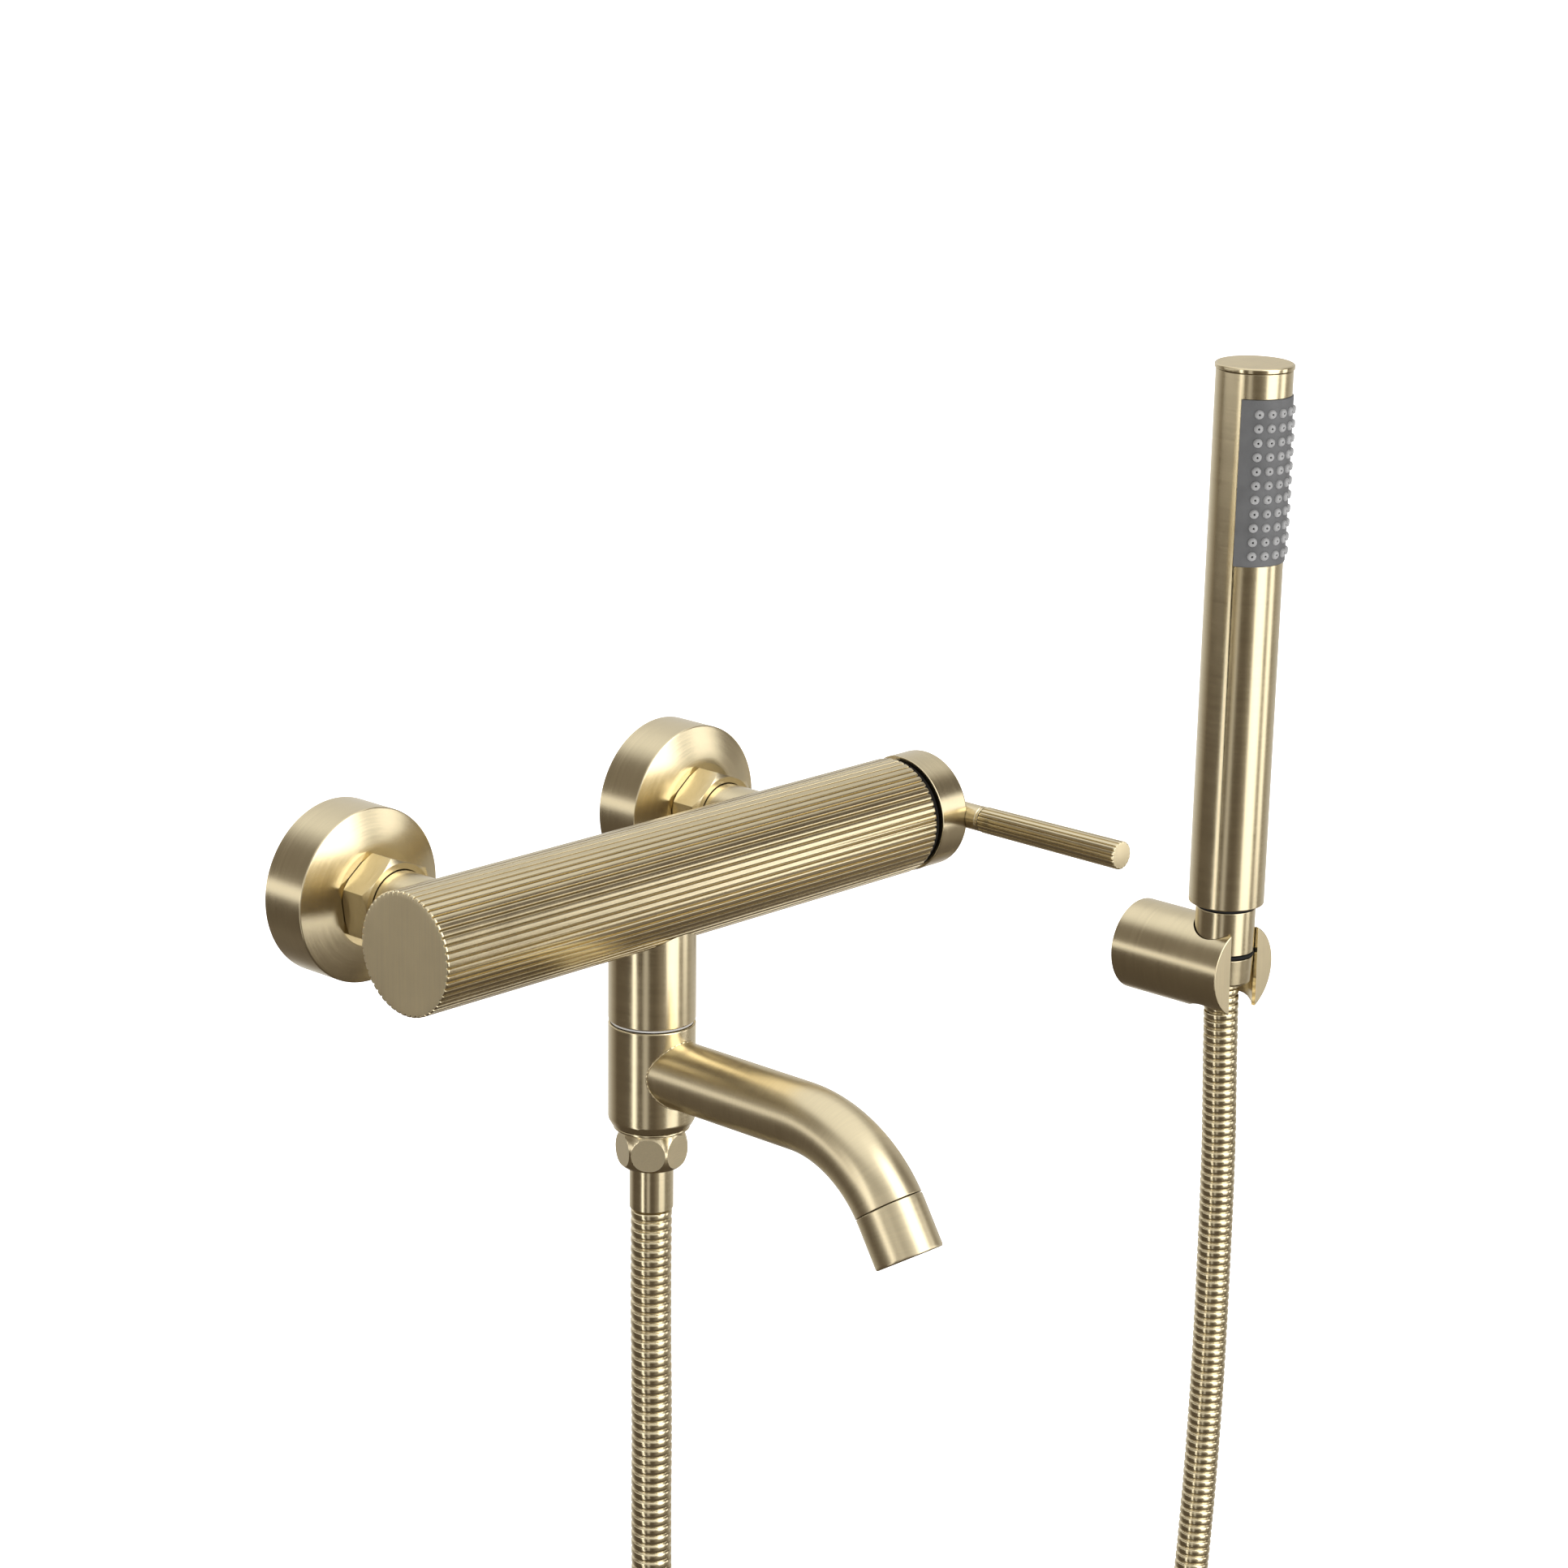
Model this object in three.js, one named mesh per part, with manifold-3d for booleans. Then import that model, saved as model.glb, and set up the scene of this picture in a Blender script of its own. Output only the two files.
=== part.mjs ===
import * as THREE from "three";
import { mergeVertices } from "three/addons/utils/BufferGeometryUtils.js";
import Module from "manifold-3d";

// Wall mounted bath mixer with a swivel spout and a hand shower on a wall holder.
// Millimetres, +Z up. The wall is the plane y = 0 and the room is on the -Y side.
// x = 0 is midway between the two inlets, z = 0 is the height of the inlets.

// Mixer body
const INLET_X = 75;
const BODY_Y = -72.7;
const BODY_LEFT = -108.5;
const BODY_RIGHT = 118.1;
const BODY_RADIUS = 20.4;
const BODY_FLUTES = 52;
const BODY_FLUTE_DEPTH = 1.0;
const COPE_RADIUS = 20.7;

// Water ways inside the body: how far below its axis and how far towards the wall each one runs
const CHANNEL_RADIUS = 3.2;
const HOT_CHANNEL = [-6.5, -2];
const COLD_CHANNEL = [0, 7];
const MIXED_CHANNEL = [6.5, -2];
const CHANNEL_END = 86;
const CARTRIDGE_BORE_RADIUS = 14.3;
const CARTRIDGE_FLOOR = 84;

// Wall connection
const FLANGE_RADIUS = 29.3;
const FLANGE_RIM = -17.4;
const FLANGE_FACE = -20.5;
const INLET_TUBE_RADIUS = 11.6;
const NUT_CORNER_RADIUS = 15.9;
const NUT_BACK = -20.8;
const NUT_FRONT = -32.2;
const NUT_TURN = THREE.MathUtils.degToRad(22);
const UNION_OFFSET = 8;
const WALL_DEPTH = 16;

// Lever and cap
const PIVOT_X = 108;
const CAP_LEFT = 121.3;
const CAP_EDGE = 133.9;
const CAP_TOP = 141.5;
const CAP_RADIUS = 20.4;
const CAP_DOME_CENTRE = 111.1;
const CAP_DOME_RADIUS = 30.4;
const LEVER_X = 136.9;
const LEVER_SEAM = -25.85;
const LEVER_TIP = -87.1;
const LEVER_RADIUS = 4.45;
const GRIP_RADIUS = 4.8;
const LEVER_FLUTES = 18;
const FLOW_ANGLE = THREE.MathUtils.degToRad(16);
const SET_SCREW_X = 127.3;
const DISC_REST = 1.7;
const SHROUD_REACH = 12.6;

// Outlet stack and spout
const STACK_RADIUS = 14.65;
const STACK_BORE = 10.3;
const SPOUT_SEAM = -46.2;
const SPOUT_Z = -63.2;
const GRUB_SCREW_Z = -56.1;
const SPOUT_RADIUS = 11.5;
const SPOUT_BORE = 9.9;
const SPOUT_START = -8;
const SPOUT_BEND_START = -68.6;
const SPOUT_BEND_RADIUS = 46.9;
const SPOUT_BEND_ANGLE = THREE.MathUtils.degToRad(58.5);
const SPOUT_SEAM_ANGLE = THREE.MathUtils.degToRad(55.2);
const AERATOR_LENGTH = 15.4;

// Hose
const HOSE_RADIUS = 7;
const HOSE_NUT_RADIUS = 12.2;
const HOSE_NUT_Z = -91.6;
const HOSE_NUT_BELLY = [-85.5, -88.2, -91.6, -94.8, -96.8];
const HOSE_NUT_CORNER = 12.41;
const FERRULE_RADIUS = 7.4;
const FERRULE_BORE = 4.5;
const HOSE_HEAD_RADIUS = 9;
const HOSE_STEPS = 46;
const HOSE_SIDES = 8;
const HOSE_ROUTE = [
  [0, -72.7, -113.5], [0, -72.7, -150.7], [0.5, -72.7, -191.4], [2, -71.3, -242.3],
  [5, -69.8, -298.3], [9, -68.4, -354.3], [15, -66.9, -410.3], [23, -65.5, -464.3],
  [34, -64, -515.2], [49, -62.6, -563.1], [70, -61.1, -605.9], [98, -59.7, -639.5],
  [134, -58.2, -661.9], [175, -56.8, -670], [216, -55.3, -661.9], [252, -53.9, -639.5],
  [280, -52.4, -605.9], [301, -51, -563.1], [316, -49.5, -515.2], [327, -48.1, -464.3],
  [336, -46.6, -410.3], [344, -45.2, -354.3], [349.5, -43.7, -298.3], [352.6, -42.3, -242.3],
  [352.6, -42.3, -191.4], [351.2, -42.3, -155.8], [350.24, -42.28, -123.2],
];

// Holder and hand shower; the shower's pieces are drawn round its own axis, h = 0 at the holder
const HOLDER_X = 350.24;
const HOLDER_Z = -114.92;
const HOLDER_BORE_Y = -42.4;
const HOLDER_RADIUS = 18.57;
const HOLDER_FRONT = -52.85;
const HOLDER_BORE = 12.4;
const HOLDER_SLOT = 8.6;
const HOLDER_GRUB_Y = -4.2;
const SCREW_TIP = 12;
const HANDSET_TILT = THREE.MathUtils.degToRad(0.84);
const HANDSET_RADIUS = 15;
const HANDSET_BOTTOM = 27.3;
const HANDSET_TOP = 241.6;
const PANEL_BOTTOM = 166.9;
const PANEL_TOP = 231.8;
const PANEL_TURN = THREE.MathUtils.degToRad(-5);
const PANEL_HALF_ANGLE = THREE.MathUtils.degToRad(64);
const PANEL_CLEARANCE = THREE.MathUtils.degToRad(1.3);
const PANEL_RADIUS = 15.5;

const FIT = 0.3;
const THROUGH = 1;

const FINISHES = {
  gold: { color: 0xc9a679, metalness: 1, roughness: 0.35 },
  brass: { color: 0xb79a5a, metalness: 1, roughness: 0.4 },
  steel: { color: 0xb9bbbd, metalness: 1, roughness: 0.35 },
  black: { color: 0x141414, metalness: 0, roughness: 0.6 },
  rubber: { color: 0x1c1c1c, metalness: 0, roughness: 0.8 },
  grey_rubber: { color: 0x8f8b86, metalness: 0, roughness: 0.6 },
  white: { color: 0xe4e0d8, metalness: 0, roughness: 0.5 },
  ceramic: { color: 0xf2efe8, metalness: 0, roughness: 0.3 },
};

const wasm = await Module();
wasm.setup();

// ---- closed solids, joins and cuts ----

function withoutSlivers(index) {
  const kept = [];
  for (let start = 0; start < index.length; start += 3) {
    const [a, b, c] = [index[start], index[start + 1], index[start + 2]];
    if (a !== b && b !== c && c !== a) {
      kept.push(a, b, c);
    }
  }
  return kept;
}

function signedVolume(points, index) {
  let total = 0;
  const [a, b, c] = [new THREE.Vector3(), new THREE.Vector3(), new THREE.Vector3()];
  for (let start = 0; start < index.length; start += 3) {
    a.fromArray(points, 3 * index[start]);
    b.fromArray(points, 3 * index[start + 1]);
    c.fromArray(points, 3 * index[start + 2]);
    total += a.dot(b.cross(c));
  }
  return total;
}

/* The same surface with shared corners, no zero-width triangles and outward faces. */
function welded(geometry) {
  const bare = geometry.clone();
  bare.deleteAttribute("normal");
  bare.deleteAttribute("uv");
  const merged = mergeVertices(bare, 1e-4);
  const index = withoutSlivers(merged.index.array);
  if (signedVolume(merged.attributes.position.array, index) < 0) {
    index.reverse();
  }
  merged.setIndex(index);
  return merged;
}

function toSolid(geometry) {
  const clean = welded(geometry);
  const mesh = new wasm.Mesh({
    numProp: 3,
    vertProperties: Float32Array.from(clean.attributes.position.array),
    triVerts: Uint32Array.from(clean.index.array),
  });
  return new wasm.Manifold(mesh);
}

function fromSolid(shape) {
  const mesh = shape.getMesh();
  const geometry = new THREE.BufferGeometry();
  const points = Float32Array.from(mesh.vertProperties);
  geometry.setAttribute("position", new THREE.BufferAttribute(points, 3));
  geometry.setIndex(Array.from(mesh.triVerts));
  return geometry;
}

function cut(base, ...tools) {
  let shape = toSolid(base);
  for (const tool of tools) {
    shape = shape.subtract(toSolid(tool));
  }
  return fromSolid(shape);
}

function join(base, ...others) {
  let shape = toSolid(base);
  for (const other of others) {
    shape = shape.add(toSolid(other));
  }
  return fromSolid(shape);
}

function common(base, other) {
  return fromSolid(toSolid(base).intersect(toSolid(other)));
}

// ---- shapes ----

/* [radius, height] pairs turned round +Z. A profile that stays off the axis makes a ring. */
function turned(profile, segments, turn = 0) {
  const points = profile.map(([radius, height]) => new THREE.Vector2(radius, height));
  if (profile[0][0] > 0) {
    points.push(points[0].clone());
  }
  const geometry = new THREE.LatheGeometry(points, segments, turn + Math.PI / 2);
  return geometry.rotateX(Math.PI / 2);
}

function rod(radius, from, to, segments, turn = 0) {
  return turned([[0, from], [radius, from], [radius, to], [0, to]], segments, turn);
}

function ring(outer, inner, from, to, segments) {
  return turned([[inner, from], [outer, from], [outer, to], [inner, to]], segments);
}

function oRing(radius, thickness, height) {
  return new THREE.TorusGeometry(radius, thickness, 5, 18).translate(0, 0, height);
}

/* Lays a shape drawn along +Z across its group: heights become x or y, the axis stays at the rest. */
function acrossX(geometry, y, z) {
  return geometry.rotateY(Math.PI / 2).translate(0, y, z);
}

function acrossY(geometry, x, z) {
  return geometry.rotateX(-Math.PI / 2).translate(x, 0, z);
}

function box(x, y, z) {
  const geometry = new THREE.BoxGeometry(x[1] - x[0], y[1] - y[0], z[1] - z[0]);
  return geometry.translate((x[0] + x[1]) / 2, (y[0] + y[1]) / 2, (z[0] + z[1]) / 2);
}

/* Round outline with a groove and a rib crest for each flute. */
function flutedOutline(radius, count, depth) {
  const points = [];
  for (let flute = 0; flute < count; flute += 1) {
    for (const [share, drop] of [[0, depth], [0.5, 0]]) {
      const angle = ((flute + share) / count) * 2 * Math.PI;
      const reach = radius - drop;
      points.push(new THREE.Vector2(reach * Math.cos(angle), reach * Math.sin(angle)));
    }
  }
  return points;
}

function circleOutline(radius, count) {
  const points = [];
  for (let step = 0; step < count; step += 1) {
    const angle = (step / count) * 2 * Math.PI;
    points.push(new THREE.Vector2(radius * Math.cos(angle), radius * Math.sin(angle)));
  }
  return points;
}

/* Angular slice of a ring, standing on z = from; angles are counted from -Y towards +X. */
function sector(outer, inner, halfAngle, from, to) {
  const steps = 14;
  const points = [];
  for (const [radius, direction] of [[outer, 1], [inner, -1]]) {
    for (let step = 0; step <= steps; step += 1) {
      const angle = PANEL_TURN + halfAngle * direction * ((2 * step) / steps - 1);
      points.push(new THREE.Vector2(radius * Math.sin(angle), -radius * Math.cos(angle)));
    }
  }
  const options = { depth: to - from, bevelEnabled: false };
  return new THREE.ExtrudeGeometry(new THREE.Shape(points), options).translate(0, 0, from);
}

// ---- wall connection, drawn along +Z = towards the wall, y = 0 at the inlet's height ----

function inletTube() {
  const shank = turned([
    [0, -58], [INLET_TUBE_RADIUS, -58], [INLET_TUBE_RADIUS, -29.1],
    [12.2, -29.1], [12.2, -27], [0, -27],
  ], 24);
  const coped = cut(shank, acrossX(rod(COPE_RADIUS, -20, 20, 48), 0, BODY_Y));
  const spigot = rod(7.7, -58.4, -50, 16);
  return cut(join(coped, spigot), rod(5.5, -60, -26, 12));
}

function unionNut() {
  const chamfered = turned([
    [0, NUT_BACK], [14.6, NUT_BACK], [16.1, NUT_BACK - 0.9], [16.1, NUT_FRONT + 0.9],
    [14.6, NUT_FRONT], [0, NUT_FRONT],
  ], 18);
  const hexagon = rod(NUT_CORNER_RADIUS, NUT_FRONT, NUT_BACK, 6, NUT_TURN);
  const bore = rod(12.55, -29.4, NUT_BACK + THROUGH, 24);
  const lip = rod(11.95, NUT_FRONT - THROUGH, NUT_BACK + THROUGH, 24);
  return cut(common(hexagon, chamfered), bore, lip);
}

function filterWasher() {
  return ring(12.2, 6, -26.7, -25, 16);
}

/* Eccentric union: its wall thread sits lower than the nut's thread. */
function wallUnion() {
  const nutSide = rod(12.2, -24.7, -10, 24);
  const wallSide = rod(10.4, -15, WALL_DEPTH, 24).translate(0, UNION_OFFSET, 0);
  const frontBore = rod(7, -26, -11.5, 14);
  const backBore = rod(6, -12.8, WALL_DEPTH + THROUGH, 14).translate(0, UNION_OFFSET, 0);
  return cut(join(nutSide, wallSide), frontBore, backBore);
}

function wallFlange() {
  return turned([
    [FLANGE_RADIUS, 0], [FLANGE_RADIUS, FLANGE_RIM], [23, -19.2], [16.3, FLANGE_FACE],
    [12.8, FLANGE_FACE], [12.8, -18.2], [27, -14.4], [27, 0],
  ], 32);
}

// ---- body, cartridge and cap, drawn along +Z = the body's axis; +X points down, +Y to the wall ----

function inletBore(x, depth) {
  return [
    acrossY(rod(7, depth, 22, 16), 0, x),
    acrossY(rod(8, 14, 22, 20), 0, x),
  ];
}

function channel(place, start) {
  return rod(CHANNEL_RADIUS, start, CHANNEL_END, 8).translate(...place, 0);
}

function mixerBody() {
  const outline = flutedOutline(BODY_RADIUS, BODY_FLUTES, BODY_FLUTE_DEPTH);
  const options = { depth: BODY_RIGHT - BODY_LEFT, bevelEnabled: false };
  const bar = new THREE.ExtrudeGeometry(new THREE.Shape(outline), options);
  return cut(
    bar.translate(0, 0, BODY_LEFT),
    rod(CARTRIDGE_BORE_RADIUS, CARTRIDGE_FLOOR, BODY_RIGHT + THROUGH, 24),
    channel(HOT_CHANNEL, -INLET_X - 4),
    channel(COLD_CHANNEL, INLET_X - 4),
    channel(MIXED_CHANNEL, -4),
    ...inletBore(-INLET_X, -4),
    ...inletBore(INLET_X, 5),
    acrossX(rod(8, 5, 22, 16), 0, 0),
    acrossX(rod(9.8, 15.5, 22, 20), 0, 0),
  );
}

/* Disc with the hot, cold and mixed water ports. */
function portedDisc(radius, from, to) {
  const ports = [HOT_CHANNEL, COLD_CHANNEL, MIXED_CHANNEL].map((place) => (
    rod(CHANNEL_RADIUS - FIT, from - THROUGH, to + THROUGH, 8).translate(...place, 0)
  ));
  return cut(rod(radius, from, to, 18), ...ports);
}

function cartridgeHousing() {
  return turned([
    [10.8, 89.9], [12.5, 89.9], [12.5, 106], [8.5, 106], [8.5, 103.6], [10.8, 103.6],
  ], 18);
}

/* Rests off the axis on the wall's side, so that opening the flow slides it through the axis. */
function movingDisc() {
  const plate = rod(8.7, 93.2, 97.4, 20).translate(0, DISC_REST, 0);
  const mixingHollow = rod(5.6, 92, 94.6, 14).translate(0, DISC_REST, 0);
  const stemPocket = rod(2.5, 95.3, 98, 12);
  return cut(plate, mixingHollow, stemPocket);
}

function turret() {
  const block = turned([
    [0, 97.8], [10.3, 97.8], [10.3, 103.3], [8, 103.3], [8, 112], [0, 112],
  ], 18);
  const stemSlot = box([-3, 3], [-6.2, 4.4], [97, 113]);
  const pinHole = acrossX(rod(1.6, -11, 11, 10), 0, PIVOT_X);
  return cut(block, stemSlot, pinHole);
}

function stem() {
  const bar = box([-2.5, 2.5], [-2.5, 2.5], [98.2, 131]);
  const tip = rod(1.8, 95.6, 98.5, 10);
  return cut(join(bar, tip), acrossX(rod(1.6, -4, 4, 10), 0, PIVOT_X));
}

function pivotPin() {
  return acrossX(rod(1.3, -7.4, 7.4, 10), 0, PIVOT_X);
}

function retainingNut() {
  return ring(14, 8.6, 106.3, 112.3, 20);
}

function shroud() {
  return turned([
    [12.6, 113], [14, 113], [14, 118.3], [19.3, 118.3], [19.3, 120.4], [9.9, 120.4],
    [7.8, 121.1], [7.8, 119.5],
  ], 28);
}

function domeHeight(radius) {
  return CAP_DOME_CENTRE + Math.sqrt(CAP_DOME_RADIUS ** 2 - radius ** 2);
}

/* The space that the shroud needs, seen from the cap when the lever is pulled fully open. */
function tiltClearance() {
  const half = 40;
  const wedge = box([-half, half], [-half, half], [-2 * half, 0]);
  wedge.translate(0, 0, SHROUD_REACH).rotateX(FLOW_ANGLE);
  return wedge.translate(0, 0, PIVOT_X);
}

function cap() {
  const dome = [6, 12, 16].map((radius) => [radius, domeHeight(radius)]);
  const shell = turned([
    [0, CAP_TOP], ...dome, [CAP_RADIUS, CAP_EDGE], [CAP_RADIUS, CAP_LEFT],
    [17.4, CAP_LEFT], [17.4, 130.4], [7, 130.4], [7, 123.6], [0, 123.6],
  ], 30);
  return cut(
    shell,
    tiltClearance(),
    box([-2.8, 2.8], [-2.8, 2.8], [123, 131.4]),
    acrossY(rod(LEVER_RADIUS + FIT, -25, -14.2, 16), 0, LEVER_X),
    acrossY(rod(2.8, -15, -6.2, 12), 0, LEVER_X),
    acrossX(rod(2.5, 2, 22, 12), 0, SET_SCREW_X),
  );
}

function setScrew() {
  return acrossX(rod(2.2, 3, 8, 10), 0, SET_SCREW_X);
}

// ---- lever, drawn along its own axis with the body's axis at z = 0 and the tip at -Z ----

function leverNeck() {
  const top = LEVER_SEAM + FIT / 2;
  const neck = turned([
    [0, -6.5], [2.5, -6.5], [2.5, -14.5], [LEVER_RADIUS, -14.5], [LEVER_RADIUS, top], [0, top],
  ], 16);
  return cut(neck, rod(2.8, top - THROUGH, top + 6, 12));
}

function leverGrip() {
  const start = LEVER_SEAM - FIT / 2;
  const chamfer = 0.4;
  const outline = new THREE.Shape(flutedOutline(GRIP_RADIUS - chamfer, LEVER_FLUTES, 0.45));
  const grip = new THREE.ExtrudeGeometry(outline, {
    depth: start - LEVER_TIP - 2 * chamfer,
    bevelSegments: 1,
    bevelThickness: chamfer,
    bevelSize: chamfer,
  });
  const stud = rod(2.5, start - 2, start + 5.7, 12);
  return join(grip.translate(0, 0, LEVER_TIP + chamfer), stud);
}

// ---- outlet stack and spout, drawn round the stack's vertical axis ----

function outletStub() {
  const column = rod(STACK_RADIUS, SPOUT_SEAM, -12, 28);
  const coped = cut(column, acrossX(rod(COPE_RADIUS, -20, 20, 48), 0, 0));
  const spigot = rod(9.5, -22, -15.8, 16);
  const socket = rod(STACK_BORE, SPOUT_SEAM - THROUGH, -30, 18);
  return cut(join(coped, spigot), socket, rod(7.5, -31, -15, 12));
}

/* Fixed core: its window feeds the spout, or the side grooves when the spout is swung aside. */
function diverterCore() {
  const nipple = turned([
    [0, -76], [9.9, -76], [9.9, -57.6], [8.8, -57.6], [8.8, -54.6], [9.9, -54.6],
    [9.9, -53.1], [8.5, -53.1], [8.5, -50.9], [9.9, -50.9],
    [9.9, -39.1], [8.5, -39.1], [8.5, -36.9], [9.9, -36.9], [9.9, -30.3], [0, -30.3],
  ], 18);
  const window = box([-4.5, 4.5], [-12, 0], [-68, -59]);
  return cut(nipple, rod(6.8, -70, -29, 12), window);
}

function slideWasher() {
  return ring(14.2, STACK_BORE, -47.1, -46.5, 18);
}

function spoutBody() {
  const shell = turned([
    [STACK_BORE, -47.4], [STACK_RADIUS, -47.4], [STACK_RADIUS, -80.9], [13.4, -83.2],
    [9.6, -83.2], [9.6, -79.5], [STACK_BORE, -79.5],
  ], 28);
  return cut(
    shell,
    acrossY(rod(8, -16, 0, 14), 0, SPOUT_Z),
    acrossY(rod(1.7, 0, 16, 8), 0, GRUB_SCREW_Z),
    rod(2.2, -79, -60, 8).translate(-9.8, 0, 0),
    rod(2.2, -79, -60, 8).translate(9.8, 0, 0),
  );
}

function spoutGrubScrew() {
  return acrossY(rod(1.4, 9.3, 13.6, 8), 0, GRUB_SCREW_Z);
}

/* The spout's centre line: level, then one bend, then straight down and forward. */
class SpoutLine extends THREE.Curve {
  constructor(from, to) {
    super();
    this.from = from;
    this.to = to;
  }

  getPoint(share, target = new THREE.Vector3()) {
    const level = SPOUT_START - SPOUT_BEND_START;
    const travel = this.from + (this.to - this.from) * share - level;
    const turn = THREE.MathUtils.clamp(travel / SPOUT_BEND_RADIUS, 0, SPOUT_BEND_ANGLE);
    const before = Math.min(travel, 0);
    const beyond = Math.max(travel - SPOUT_BEND_RADIUS * SPOUT_BEND_ANGLE, 0);
    const y = SPOUT_BEND_START - SPOUT_BEND_RADIUS * Math.sin(turn) - before;
    const z = SPOUT_Z - SPOUT_BEND_RADIUS * (1 - Math.cos(turn));
    return target.set(0, y - beyond * Math.cos(turn), z - beyond * Math.sin(turn));
  }
}

function spoutSeamTravel() {
  return SPOUT_START - SPOUT_BEND_START + SPOUT_BEND_RADIUS * SPOUT_SEAM_ANGLE;
}

function spoutEndTravel() {
  return SPOUT_START - SPOUT_BEND_START + SPOUT_BEND_RADIUS * SPOUT_BEND_ANGLE;
}

function spoutTube() {
  const section = new THREE.Shape(circleOutline(SPOUT_RADIUS, 18));
  section.holes.push(new THREE.Path(circleOutline(SPOUT_BORE, 18)));
  const line = new SpoutLine(0, spoutSeamTravel());
  const pipe = new THREE.ExtrudeGeometry(section, { steps: 11, extrudePath: line });
  return cut(pipe, rod(STACK_RADIUS + FIT, -80, -46, 40));
}

/* Moves a shape from the spout's straight end, where +Z leaves the mouth, into the stack's frame. */
function ontoSpoutEnd(geometry) {
  const end = new SpoutLine(0, spoutEndTravel()).getPoint(1);
  return geometry.rotateX(Math.PI / 2 + SPOUT_BEND_ANGLE).translate(end.x, end.y, end.z);
}

function aeratorHousing() {
  const line = new SpoutLine(spoutSeamTravel() + FIT, spoutEndTravel() + AERATOR_LENGTH);
  const section = new THREE.Shape(circleOutline(SPOUT_RADIUS, 18));
  const block = new THREE.ExtrudeGeometry(section, { steps: 5, extrudePath: line });
  const passage = ontoSpoutEnd(rod(8.8, -6, 4, 16));
  const insertBore = ontoSpoutEnd(rod(10, 3, AERATOR_LENGTH + THROUGH, 18));
  return cut(block, passage, insertBore);
}

// ---- aerator, drawn from the spout's straight end, +Z leaving the mouth ----

function aeratorWasher() {
  return ring(9.6, 6.5, 3.3, 4.7, 16);
}

function aeratorInsert() {
  const jets = [];
  for (const [count, radius] of [[1, 0], [6, 5.5]]) {
    for (let jet = 0; jet < count; jet += 1) {
      const angle = (jet / count) * 2 * Math.PI;
      const hole = rod(1.2, 4, AERATOR_LENGTH, 5);
      jets.push(hole.translate(radius * Math.cos(angle), radius * Math.sin(angle), 0));
    }
  }
  return cut(rod(9.6, 5, AERATOR_LENGTH - 0.8, 18), ...jets);
}

// ---- hose outlet with its non-return valve, round the stack's axis ----

function outletNipple() {
  return turned([
    [6.9, -80], [9.3, -80], [9.3, -83.5], [12.93, -83.5], [12.93, -84.5], [9, -84.5],
    [9, -91.6], [5, -91.6], [5, -90.9], [6.9, -90.9],
  ], 22);
}

function checkValveBody() {
  const shell = turned([
    [3.6, -80.3], [6.6, -80.3], [6.6, -90.6], [1.6, -90.6], [1.6, -89.4], [5.2, -89.4],
    [5.2, -81.8], [3.6, -81.8],
  ], 12);
  const flowHoles = [0, 1, 2, 3].map((quarter) => {
    const angle = (quarter * Math.PI) / 2;
    return rod(0.9, -91, -89, 6).translate(3.6 * Math.cos(angle), 3.6 * Math.sin(angle), 0);
  });
  return cut(shell, ...flowHoles);
}

function checkValvePoppet() {
  return turned([
    [0, -82.1], [4.6, -82.1], [4.6, -83.6], [1.2, -83.6], [1.2, -90.4], [0, -90.4],
  ], 12);
}

class Helix extends THREE.Curve {
  constructor(radius, from, to, turns) {
    super();
    Object.assign(this, { radius, from, to, turns });
  }

  getPoint(share, target = new THREE.Vector3()) {
    const angle = share * this.turns * 2 * Math.PI;
    const height = this.from + (this.to - this.from) * share;
    return target.set(this.radius * Math.cos(angle), this.radius * Math.sin(angle), height);
  }
}

function checkValveSpring() {
  const wire = new THREE.Shape(circleOutline(0.35, 4));
  const coil = new Helix(2.8, -88.7, -84.3, 4);
  return new THREE.ExtrudeGeometry(wire, { steps: 32, extrudePath: coil });
}

/* Ball-shaped nut with six round flats. */
function hoseNut() {
  const shell = turned([
    [9.3, -84.8], [10.4, -84.8], ...ballBelly(HOSE_NUT_RADIUS, HOSE_NUT_Z, HOSE_NUT_BELLY), [9.9, -97.9],
    [8.6, -98.4], [7.8, -98.5], [7.8, -94.9], [9.3, -94.9],
  ], 24);
  return common(shell, rod(HOSE_NUT_CORNER, -101, -85, 6));
}

/* Profile points of a ball at the given heights. */
function ballBelly(radius, middle, heights) {
  return heights.map((height) => [Math.sqrt(radius ** 2 - (height - middle) ** 2), height]);
}

function hoseWasher(from, to) {
  return ring(HOSE_HEAD_RADIUS, 5.5, from, to, 14);
}

/* Hose end: a head inside the nut and a short ferrule that the hose is crimped into. */
function hoseFerrule(tip, neck, head) {
  return turned([
    [FERRULE_BORE, tip], [FERRULE_RADIUS, tip], [FERRULE_RADIUS, neck],
    [HOSE_HEAD_RADIUS, neck], [HOSE_HEAD_RADIUS, head], [FERRULE_BORE, head],
  ], 16);
}

function hose() {
  const route = new THREE.CatmullRomCurve3(HOSE_ROUTE.map((point) => new THREE.Vector3(...point)));
  const section = new THREE.Shape(circleOutline(HOSE_RADIUS, HOSE_SIDES));
  return new THREE.ExtrudeGeometry(section, { steps: HOSE_STEPS, extrudePath: route });
}

// ---- wall holder, drawn along +Z = towards the wall; +Y points down ----

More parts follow.
